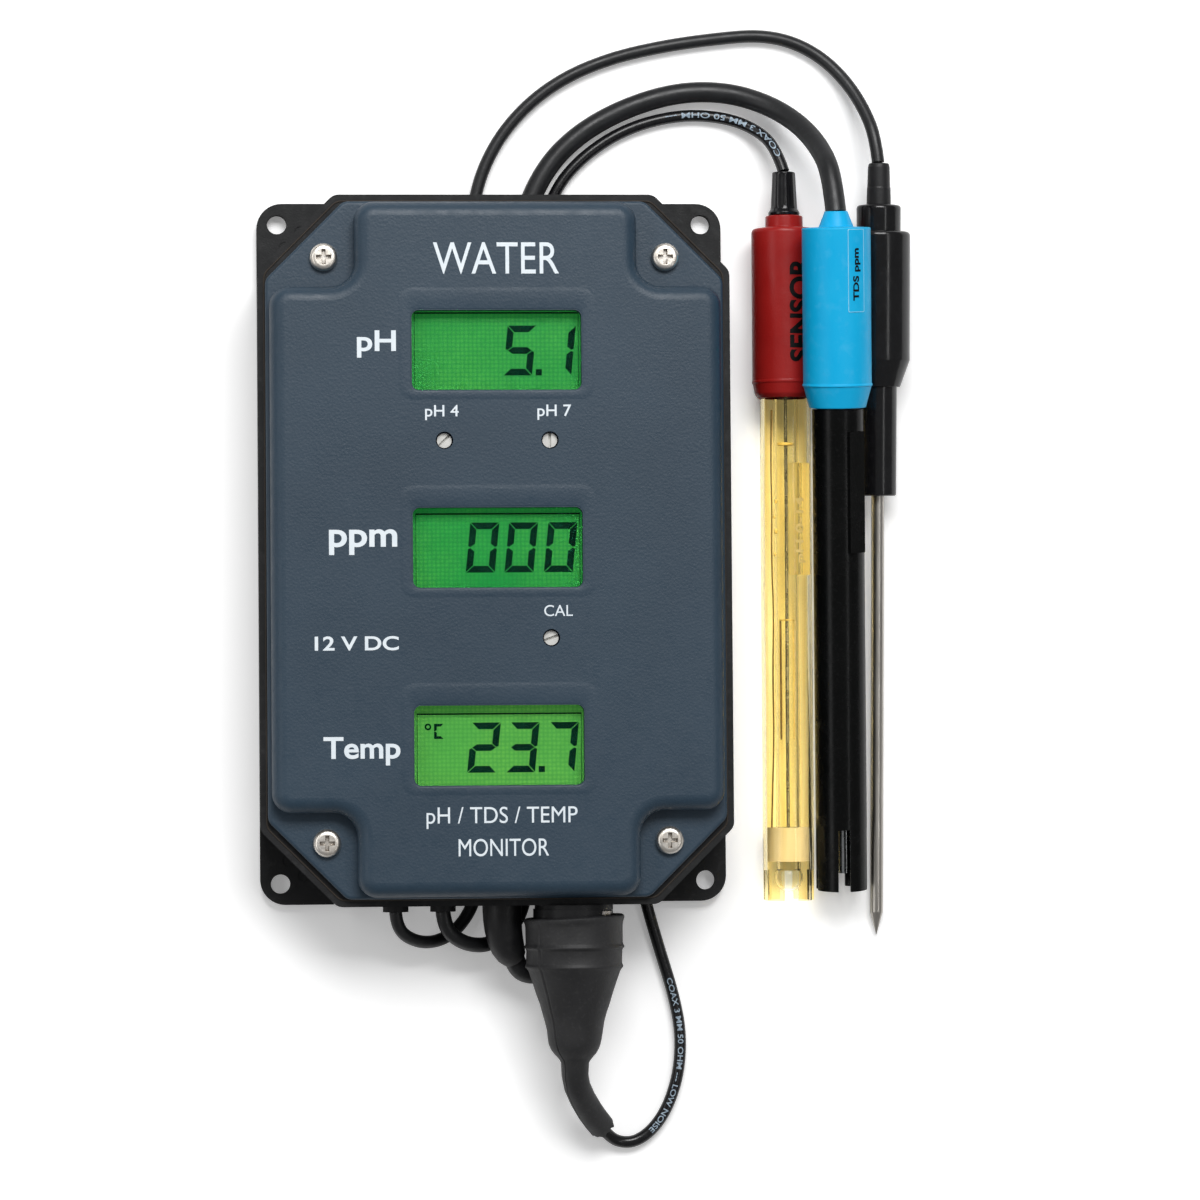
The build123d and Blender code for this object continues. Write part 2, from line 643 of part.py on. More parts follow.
def rubber_boot():
    hood = [(sleeve_diameter / 2 + over, station) for over, station in boot_hood]
    outer = turned((0, boot_mouth), *hood, *boot_tail, (0, boot_tail[-1][1]))
    cavity_radius = sleeve_diameter / 2 + boot_gap
    seat_radius = plug_shoulder / 2 + boot_seat_gap
    crimp_radius = crimp_diameter / 2 + boot_seat_gap
    shoulder = plug_shoulder_end + boot_seat_gap
    crimp_stop = crimp_end + boot_seat_gap
    cavity = turned((0, boot_mouth), (cavity_radius, boot_mouth), (cavity_radius, boot_cavity_end),
                    (seat_radius, boot_taper_end), (seat_radius, shoulder), (crimp_radius, shoulder),
                    (crimp_radius, crimp_stop), (0, crimp_stop))
    boot = wall_exit(jack_x, jack_z) * (outer - cavity)
    neck, _ = tube_along(boot_neck_route, [boot_neck_bend, boot_neck_bend], boot_neck)
    return boot + neck


def ph_probe():
    wall = (ph_body_dia - ph_body_bore) / 2
    body = ring(ph_body_dia, ph_body_bore, 0, ph_body_end)
    slot = Pos(0, ph_guard_length / 2 - 1, 0) * Box(ph_body_dia + 2 * wall, ph_guard_length - 2, ph_guard_slot)
    body -= slot
    body -= Rot(0, 90, 0) * slot
    stem = ring(ph_stem_dia, ph_stem_bore, ph_stem_start, ph_stem_end)
    bulb = Pos(0, ph_bulb_station, 0) * Sphere(ph_bulb_dia / 2)
    inside = Pos(0, ph_bulb_station, 0) * Sphere(ph_bulb_dia / 2 - ph_bulb_wall)
    stem = stem + bulb - inside - rod(ph_stem_bore, ph_bulb_station, ph_bulb_station + ph_bulb_dia / 2 + 0.1)
    junction = ring(ph_body_bore - 2 * fit_gap, ph_stem_dia + 2 * fit_gap, ph_junction_start, ph_junction_end)
    wire = rod(ph_wire_dia, ph_wire_start, ph_cap_end - 6)
    nose = ph_cap_start + ph_cap_nose
    cap = turned((0, ph_cap_start), (ph_cap_dia / 2 - 1.5, ph_cap_start), (ph_cap_dia / 2 - 0.4, ph_cap_start + 1.6),
                 (ph_cap_dia / 2, nose), (ph_cap_dia / 2, ph_cap_end - 0.8), (ph_cap_dia / 2 - 0.8, ph_cap_end),
                 (ph_collar_dia / 2, ph_cap_end), (ph_collar_dia / 2, ph_cap_end + ph_collar_length),
                 (0, ph_cap_end + ph_collar_length))
    cap -= rod(ph_body_dia + 2 * fit_gap, ph_cap_start, ph_body_end)
    cap -= rod(ph_wire_dia + 2 * fit_gap, ph_body_end, ph_cap_end - 6)
    relief_low = ph_cap_end + ph_collar_length
    relief_mid = relief_low + ph_relief_flange_length
    relief = cone(ph_relief_flange_dia, ph_relief_base_dia, relief_low, relief_mid)
    relief += cone(ph_relief_base_dia, ph_relief_tip_dia, relief_mid, relief_mid + ph_relief_length)
    frame = lying(ph_tip, ph_cap_rest)
    end = frame.from_local_coords((0, relief_mid + ph_relief_length, 0))
    print("pH relief end", [round(c, 2) for c in end])
    return [frame * solid for solid in (body, stem, junction, wire, cap, relief)]


def tds_probe():
    sleeve = ring(tds_sleeve_dia, tds_core_dia + 2 * fit_gap, 0, tds_sleeve_end)
    plate_length = tds_plate_end - tds_plate_start
    plate_top = tds_sleeve_dia / 2 + tds_plate_rise
    plate_low = tds_core_dia / 2 + 0.6
    plate = Pos(0, (tds_plate_start + tds_plate_end) / 2, (plate_low + plate_top) / 2)
    plate = plate * Box(tds_plate_width, plate_length, plate_top - plate_low)
    sleeve += Rot(0, tds_plate_turn, 0) * plate
    slot = Pos(0, tds_slot_length / 2, 0) * Box(tds_slot_width, tds_slot_length, tds_sleeve_dia + 2)
    sleeve -= slot
    sleeve -= Rot(0, 90, 0) * slot
    core = rod(tds_core_dia, tds_core_start, tds_core_end)
    electrodes = []
    seat_end = tds_core_start + tds_electrode_seat
    for side in (1, -1):
        offset = Pos(0, 0, side * tds_electrode_half)
        electrodes.append(offset * rod(tds_electrode_dia, tds_electrode_start, seat_end))
        core -= offset * rod(tds_electrode_dia + 2 * fit_gap, tds_core_start, seat_end)
    cap = turned((0, tds_cap_start), (tds_cap_taper_dia / 2, tds_cap_start), (tds_cap_dia / 2, tds_cap_taper_end),
                 (tds_cap_dia / 2, tds_cap_end - tds_cap_edge), (tds_cap_dia / 2 - tds_cap_edge, tds_cap_end),
                 (tds_collar_base_dia / 2, tds_cap_end), (tds_collar_tip_dia / 2, tds_cap_end + tds_collar_length),
                 (0, tds_cap_end + tds_collar_length))
    cap -= rod(tds_core_dia + 2 * fit_gap, tds_cap_start, tds_core_end)
    frame = lying(tds_tip, tds_top)
    end = frame.from_local_coords((0, tds_cap_end + tds_collar_length, 0))
    print("TDS collar end", [round(c, 2) for c in end], "axis", frame.y_dir)
    return [frame * solid for solid in (sleeve, core, cap)], [frame * rod_ for rod_ in electrodes]


def temp_probe():
    needle = turned((0, 0), (needle_dia / 2, needle_point), (needle_dia / 2, needle_end),
                    (needle_bore / 2, needle_end), (needle_bore / 2, needle_point), (0, needle_point))
    sensor = rod(sensor_dia, sensor_start, sensor_start + sensor_length)
    round_low = temp_handle_end - temp_handle_round
    handle = turned((0, temp_neck_start), (temp_neck_dia / 2, temp_neck_start), (temp_neck_dia / 2, temp_neck_end),
                    (temp_taper_dia / 2, temp_neck_end), (temp_handle_dia / 2, temp_taper_end),
                    (temp_handle_dia / 2, round_low), (temp_handle_dia / 2 - temp_handle_round, temp_handle_end),
                    (0, temp_handle_end))
    handle -= rod(needle_dia + 2 * fit_gap, temp_neck_start, needle_end)
    collar = rod(temp_collar_dia, temp_handle_end, temp_collar_end)
    collar = fillet(collar.edges().group_by(Axis.Y)[-1], 0.8)
    relief = cone(temp_relief_base_dia, temp_relief_tip_dia, temp_collar_end, temp_relief_end)
    frame = lying(temp_tip, temp_rest)
    end = frame.from_local_coords((0, temp_relief_end, 0))
    print("temperature relief end", [round(c, 2) for c in end])
    return [frame * solid for solid in (needle, sensor, handle, collar, relief)]


def power_socket():
    # in-line two-pole socket, face to face with the end of the power cord
    x, y, z = power_cord_route[-1]
    low_z = power_socket_height / 2 + 0.1
    block = Pos(x, y + power_socket_length / 2, low_z)
    block = block * Box(power_socket_width, power_socket_length, power_socket_height)
    block = fillet(block.edges().filter_by(Axis.Y), 0.8)
    for side in (1, -1):
        hole = Pos(x + side * power_socket_pitch / 2, y + power_socket_length - 4, low_z)
        block -= hole * Rot(90, 0, 0) * Cylinder(power_socket_hole / 2, 8)
    return block


save("rear_case", rear_case())
save("front_cover", front_cover())
save("case_seal", case_seal())
save("cover_screws", *[cover_screw(x, y) for x, y in mirrored_places(cover_screw_x, cover_screw_y)])
save("board_screws", *[board_screw(x, y) for x, y in board_screw_places()])
for name, y in window_ys.items():
    window, cell, tray = display_parts(y)
    save(f"{name}_window", window)
    save(f"{name}_display", cell)
    save(f"{name}_backlight", tray)
save("main_board", main_board())
save("board_chips", *board_chips())
save("cable_headers", *[cable_header(name) for name in header_xs])
for name, (x, y) in trimmer_places.items():
    save(f"{name}_trimmer", trimmer_body(x, y))
    save(f"{name}_rotor", trimmer_rotor(x, y, trimmer_angles[name]))

inner_end = -half_height + case_wall + gland_flange_thickness
save("inner_leads",
     inner_lead("temp", (temp_gland_x, inner_end, exit_z), 2.0),
     inner_lead("power", (power_gland_x, inner_end, exit_z), 2.0),
     inner_lead("tds", (relief_x, inner_end, exit_z), 3.2),
     inner_lead("ph", (jack_x, -half_height + contact_tail_end, jack_z), 1.6))
save("temp_gland", cable_gland(temp_gland_x))
save("power_gland", cable_gland(power_gland_x))
save("tds_relief", tds_relief())
for node, solid in zip(("jack_body", "jack_washer", "jack_nut", "jack_insulator", "jack_contact"), jack_parts()):
    save(node, solid)
for node, solid in zip(("plug_body", "plug_insulator", "plug_pin"), plug_parts()):
    save(node, solid)
save("plug_sleeve", plug_sleeve())
save("rubber_boot", rubber_boot())

ph_nodes = ("ph_probe_body", "ph_glass_stem", "ph_junction", "ph_silver_wire", "ph_probe_cap", "ph_probe_relief")
for node, solid in zip(ph_nodes, ph_probe()):
    save(node, solid)
tds_solids, tds_electrodes = tds_probe()
for node, solid in zip(("tds_sleeve", "tds_probe_core", "tds_probe_cap"), tds_solids):
    save(node, solid)
save("tds_electrodes", *tds_electrodes)
temp_nodes = ("temp_probe_needle", "temp_sensor", "temp_probe_handle", "temp_probe_collar", "temp_probe_relief")
for node, solid in zip(temp_nodes, temp_probe()):
    save(node, solid)

save("temp_cord", cord_tube("temp_cord", temp_cord_route, temp_cord_dia))
save("power_cord", cord_tube("power_cord", power_cord_route, power_cord_dia))
save("power_socket", power_socket())
save("tds_cord", cord_tube("tds_cord", tds_cord_route, tds_cord_dia))
save("ph_cord", cord_tube("ph_cord", ph_cord_route, ph_cord_dia))
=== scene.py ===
import math
import random
import bmesh
import bpy
from mathutils import Matrix, Vector


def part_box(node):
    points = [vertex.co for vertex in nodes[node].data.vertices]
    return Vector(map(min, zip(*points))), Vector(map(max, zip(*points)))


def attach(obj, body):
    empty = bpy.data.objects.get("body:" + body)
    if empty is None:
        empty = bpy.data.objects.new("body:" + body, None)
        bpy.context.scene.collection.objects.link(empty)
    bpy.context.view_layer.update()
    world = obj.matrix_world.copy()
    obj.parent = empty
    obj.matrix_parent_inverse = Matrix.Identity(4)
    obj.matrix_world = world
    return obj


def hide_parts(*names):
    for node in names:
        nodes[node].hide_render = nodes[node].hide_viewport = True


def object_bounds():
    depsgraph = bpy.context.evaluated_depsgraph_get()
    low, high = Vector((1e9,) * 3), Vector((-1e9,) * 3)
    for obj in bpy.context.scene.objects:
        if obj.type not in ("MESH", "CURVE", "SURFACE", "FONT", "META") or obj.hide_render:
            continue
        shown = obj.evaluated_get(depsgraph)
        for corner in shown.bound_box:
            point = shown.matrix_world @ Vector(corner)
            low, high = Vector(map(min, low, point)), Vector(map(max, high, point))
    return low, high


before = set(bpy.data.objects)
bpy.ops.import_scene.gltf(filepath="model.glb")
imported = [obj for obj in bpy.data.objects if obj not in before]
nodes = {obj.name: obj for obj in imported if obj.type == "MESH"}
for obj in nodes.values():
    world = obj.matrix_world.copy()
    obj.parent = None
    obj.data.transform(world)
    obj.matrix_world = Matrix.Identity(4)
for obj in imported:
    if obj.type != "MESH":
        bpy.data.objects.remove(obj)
cadLow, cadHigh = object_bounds()
mm = 0.001
print("frame loaded,", len(nodes), "CAD nodes")


# mesh helpers, sizes in millimetres

def addPiece(name, data, skin, body="monitor", replaces=()):
    piece = bpy.data.objects.new(name, data)
    bpy.context.scene.collection.objects.link(piece)
    data.materials.append(looks[skin])
    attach(piece, body)
    if replaces:
        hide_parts(*replaces)
    return piece


def meshFrom(name, points, faces, sharpAngle=35):
    data = bpy.data.meshes.new(name)
    data.from_pydata([Vector(p) * mm for p in points], [], faces)
    data.validate()
    data.shade_smooth()
    data.set_sharp_from_angle(angle=math.radians(sharpAngle))
    return data


guard = dict(run=1.0, reach=0.1, share=0.49)


def roundedProfile(profile, steps=5):
    # (radius, station, round): a third number rounds that corner, and a long
    # run gets a point near each end, which keeps smooth shading at its corners
    line = []
    last = len(profile) - 1
    for i, point in enumerate(profile):
        here = Vector(point[:2])
        if len(point) < 3 or i in (0, last):
            line.append(here)
            continue
        before = Vector(profile[i - 1][:2]) - here
        after = Vector(profile[i + 1][:2]) - here
        turn = before.angle(after)
        reach = min(point[2] / math.tan(turn / 2), before.length * guard["share"],
                    after.length * guard["share"])
        start = here + before.normalized() * reach
        end = here + after.normalized() * reach
        for step in range(steps + 1):
            t = step / steps
            line.append(start * (1 - t) ** 2 + here * 2 * t * (1 - t) + end * t ** 2)
    guarded = [line[0]]
    for before, after in zip(line, line[1:]):
        run = after - before
        if run.length > guard["run"]:
            inward = run.normalized() * guard["reach"]
            guarded += [before + inward, after - inward]
        guarded.append(after)
    return guarded


def aroundAxis(place, radius, station, angle):
    return place @ Vector((radius * math.sin(angle), station, radius * math.cos(angle)))


def lathe(name, profile, place, turns=96, shape=None):
    # turns the profile about the station axis, which is Y of the place matrix
    line = roundedProfile(profile)
    points = []
    rings = []
    for radius, station in line:
        if radius < 1e-6:
            rings.append([len(points)])
            points.append(place @ Vector((0, station, 0)))
            continue
        rings.append(list(range(len(points), len(points) + turns)))
        for step in range(turns):
            angle = step * math.tau / turns
            r = radius + (shape(angle, station) if shape else 0)
            points.append(aroundAxis(place, r, station, angle))
    return meshFrom(name, points, ringFaces(rings))


def ringFaces(rings, closed=False):
    faces = []
    pairs = list(zip(rings, rings[1:]))
    if closed:
        pairs.append((rings[-1], rings[0]))
    for low, high in pairs:
        count = max(len(low), len(high))
        for step in range(count):
            after = (step + 1) % count
            lowPair = [low[step % len(low)], low[after % len(low)]]
            highPair = [high[after % len(high)], high[step % len(high)]]
            corners = list(dict.fromkeys(lowPair + highPair))
            if len(corners) > 2:
                faces.append(corners[::-1])
    return faces


def loft(name, loops, closed=False, sharpAngle=35):
    # joins loops of points, all with the same count
    count = len(loops[0])
    points = [p for loop in loops for p in loop]
    rings = [list(range(i * count, (i + 1) * count)) for i in range(len(loops))]
    return meshFrom(name, points, ringFaces(rings, closed), sharpAngle)


def roundedOutline(corners, z, steps=8):
    # corners as (x, y, round), joined by straight runs and quarter-like curves
    loop = []
    count = len(corners)
    for i in range(count):
        here = Vector(corners[i][:2])
        before = (Vector(corners[i - 1][:2]) - here).normalized()
        after = (Vector(corners[(i + 1) % count][:2]) - here).normalized()
        turn = before.angle(after)
        reach = corners[i][2] / math.tan(turn / 2)
        centre = here + (before + after).normalized() * (corners[i][2] / math.sin(turn / 2))
        start = here + before * reach - centre
        sweep = math.pi - turn
        side = 1 if before.x * after.y - before.y * after.x < 0 else -1
        for step in range(steps + 1):
            angle = side * sweep * step / steps
            c = math.cos(angle)
            s = math.sin(angle)
            loop.append((centre.x + start.x * c - start.y * s, centre.y + start.x * s + start.y * c, z))
    return loop


def rectangle(x, y, wide, tall, corner, z):
    w, h = wide / 2, tall / 2
    signs = ((1, 1), (-1, 1), (-1, -1), (1, -1))
    return roundedOutline([(x + i * w, y + j * h, corner) for i, j in signs], z)


def lyingFrame(tip, towards):
    # Y runs from the tip towards the second point, Z is the upward side
    along = (Vector(towards) - Vector(tip)).normalized()
    side = along.cross(Vector((0, 0, 1))).normalized()
    place = Matrix((side, along, side.cross(along))).transposed().to_4x4()
    place.translation = tip
    return place


def evaluated(name, curve):
    maker = bpy.data.objects.new(name, curve)
    bpy.context.scene.collection.objects.link(maker)
    bpy.context.view_layer.update()
    data = bpy.data.meshes.new_from_object(maker.evaluated_get(bpy.context.evaluated_depsgraph_get()))
    bpy.data.objects.remove(maker)
    return data


letter = dict(rise=0.06, extrude=0.01, fineness=6)


def lettering(name, words, box, z, bold=0.0, grid=0.0):
    # words fitted to box (left, bottom, right, top), raised a hair above z;
    # a grid size cuts the letters up so that they can follow a curved surface
    curve = bpy.data.curves.new(name, "FONT")
    curve.body = words
    curve.offset = bold
    curve.extrude = letter["extrude"]
    curve.resolution_u = letter["fineness"]
    data = evaluated(name, curve)
    xs = [v.co.x for v in data.vertices]
    ys = [v.co.y for v in data.vertices]
    left, bottom, right, top = box
    wide = (right - left) / (max(xs) - min(xs))
    tall = (top - bottom) / (max(ys) - min(ys))
    for v in data.vertices:
        x = left + (v.co.x - min(xs)) * wide
        y = bottom + (v.co.y - min(ys)) * tall
        v.co = Vector((x, y, z + (letter["rise"] if v.co.z > 0 else 0.0))) * mm
    data.name = name
    if grid:
        cut = bmesh.new()
        cut.from_mesh(data)
        for axis, low, high in ((Vector((1, 0, 0)), left, right), (Vector((0, 1, 0)), bottom, top)):
            for step in range(1, int((high - low) / grid) + 1):
                parts = cut.verts[:] + cut.edges[:] + cut.faces[:]
                point = axis * (low + step * grid) * mm
                bmesh.ops.bisect_plane(cut, geom=parts, plane_co=point, plane_no=axis)
        cut.to_mesh(data)
        cut.free()
    return data


def wrap(data, place, radius, turn):
    # bends flat letters, drawn in X and Y with height in Z, round the axis of a lying part
    for v in data.vertices:
        x, y, lift = v.co / mm
        v.co = aroundAxis(place, radius + lift, y, turn + x / radius) * mm


# material helpers

def startMaterial(name):
    material = bpy.data.materials.new(name)
    material.use_nodes = True
    tree = material.node_tree
    return material, tree, tree.nodes["Principled BSDF"]


def setInputs(tree, node, inputs):
    # each input takes a value, a colour, or another node's output
    for name, value in inputs.items():
        if isinstance(value, bpy.types.NodeSocket):
            tree.links.new(value, node.inputs[name])
        else:
            node.inputs[name].default_value = value
    return node.outputs


def addNode(tree, kind, inputs):
    return setInputs(tree, tree.nodes.new("ShaderNode" + kind), inputs)


def noiseNode(tree, size, stretch=(1, 1, 1), detail=4.0):
    # noise with features about size millimetres across, in the part's own space
    place = addNode(tree, "TexCoord", {})["Object"]
    scale = [s / (size * mm) for s in stretch]
    scaled = addNode(tree, "Mapping", {"Vector": place, "Scale": scale})["Vector"]
    return addNode(tree, "TexNoise", {"Vector": scaled, "Scale": 1.0, "Detail": detail})["Fac"]


def remap(tree, value, low, high, inLow=0.3, inHigh=0.7):
    return addNode(tree, "MapRange", {"Value": value, "From Min": inLow, "From Max": inHigh,
                                      "To Min": low, "To Max": high})["Result"]


def blendColours(tree, factor, first, second):
    mix = tree.nodes.new("ShaderNodeMix")
    mix.data_type = "RGBA"
    tree.links.new(factor, mix.inputs["Factor"])
    for socket, colour in ((mix.inputs[6], first), (mix.inputs[7], second)):
        if isinstance(colour, tuple):
            socket.default_value = (*colour, 1)
        else:
            tree.links.new(colour, socket)
    return mix.outputs[2]


def addBump(tree, height, depth, after=None):
    inputs = {"Height": height, "Distance": depth * mm}
    if after is not None:
        inputs["Normal"] = after
    return addNode(tree, "Bump", inputs)["Normal"]


def cells(tree, size, inputs, feature="F1"):
    # cell pattern about size millimetres across
    node = tree.nodes.new("ShaderNodeTexVoronoi")
    node.feature = feature
    place = addNode(tree, "TexCoord", {})["Object"]
    return setInputs(tree, node, {"Vector": place, "Scale": 1 / (size * mm), **inputs})["Distance"]


def finish(name, values):
    # colour drift, mottled gloss and fine grain, with faint dust or wear over them; on some, painted shade
    # darkens the hollows that ambient occlusion finds
    material, tree, shader = startMaterial(name)
    stretch = values.get("stretch", (1, 1, 1))
    patch = noiseNode(tree, values.get("patch", 14), stretch)
    colour = blendColours(tree, remap(tree, patch, 0, 1), values["colour"], values["drift"])
    if "dust" in values:
        dust = noiseNode(tree, values.get("dustSize", 1.6), detail=9)
        amount = remap(tree, dust, 0, values["dustAmount"], inLow=0.54, inHigh=0.8)
        colour = blendColours(tree, amount, colour, values["dust"])
    # painted shade: ambient occlusion darkens the colour in hollows and recesses, towards the given shade
    # colour
    if "crevice" in values:
        hollow = tree.nodes.new("ShaderNodeAmbientOcclusion")
        hollow.inputs["Distance"].default_value = values["crevice"] * mm
        hollow.samples = 6
        shade = remap(tree, hollow.outputs["AO"], 1, 0, inLow=0.35, inHigh=0.95)
        colour = blendColours(tree, shade, colour, values["recessShade"])
    gloss = noiseNode(tree, values.get("glossPatch", 3), stretch)
    inputs = {"Base Color": colour, "Roughness": remap(tree, gloss, *values["rough"]),
              "Metallic": values.get("metal", 0), "Specular IOR Level": values.get("specular", 0.5)}
    normal = None
    if "leather" in values:
        size, depth = values["leather"]
        normal = addBump(tree, cells(tree, size, {"Smoothness": 0.6}, "SMOOTH_F1"), depth)
    if "grain" in values:
        size, depth = values["grain"]
        normal = addBump(tree, noiseNode(tree, size, stretch, detail=6), depth, normal)
    if normal is not None:
        inputs["Normal"] = normal
    setInputs(tree, shader, inputs)
    return material


def clearPlastic(name, values):
    # see-through finish whose tint runs in streaks, and which lets lamps through
    material, tree, shader = startMaterial(name)
    links = tree.links
    streak = noiseNode(tree, values["patch"], values["stretch"], detail=3)
    colour = blendColours(tree, remap(tree, streak, 0, 1, *values["band"]), values["colour"], values["drift"])
    inputs = {"Base Color": colour, "Transmission Weight": values["clear"], "Roughness": values["rough"],
              "IOR": values["ior"]}
    if "ripple" in values:
        size, depth = values["ripple"]
        inputs["Normal"] = addBump(tree, noiseNode(tree, size, values["stretch"], detail=2), depth)
    through = addNode(tree, "BsdfTransparent", {"Color": (*values["shadow"], 1)})["BSDF"]
    path = addNode(tree, "LightPath", {})
    mix = tree.nodes.new("ShaderNodeMixShader")
    links.new(path["Is Shadow Ray"], mix.inputs["Fac"])
    links.new(setInputs(tree, shader, inputs)["BSDF"], mix.inputs[1])
    links.new(through, mix.inputs[2])
    links.new(mix.outputs["Shader"], tree.nodes["Material Output"].inputs["Surface"])
    return material


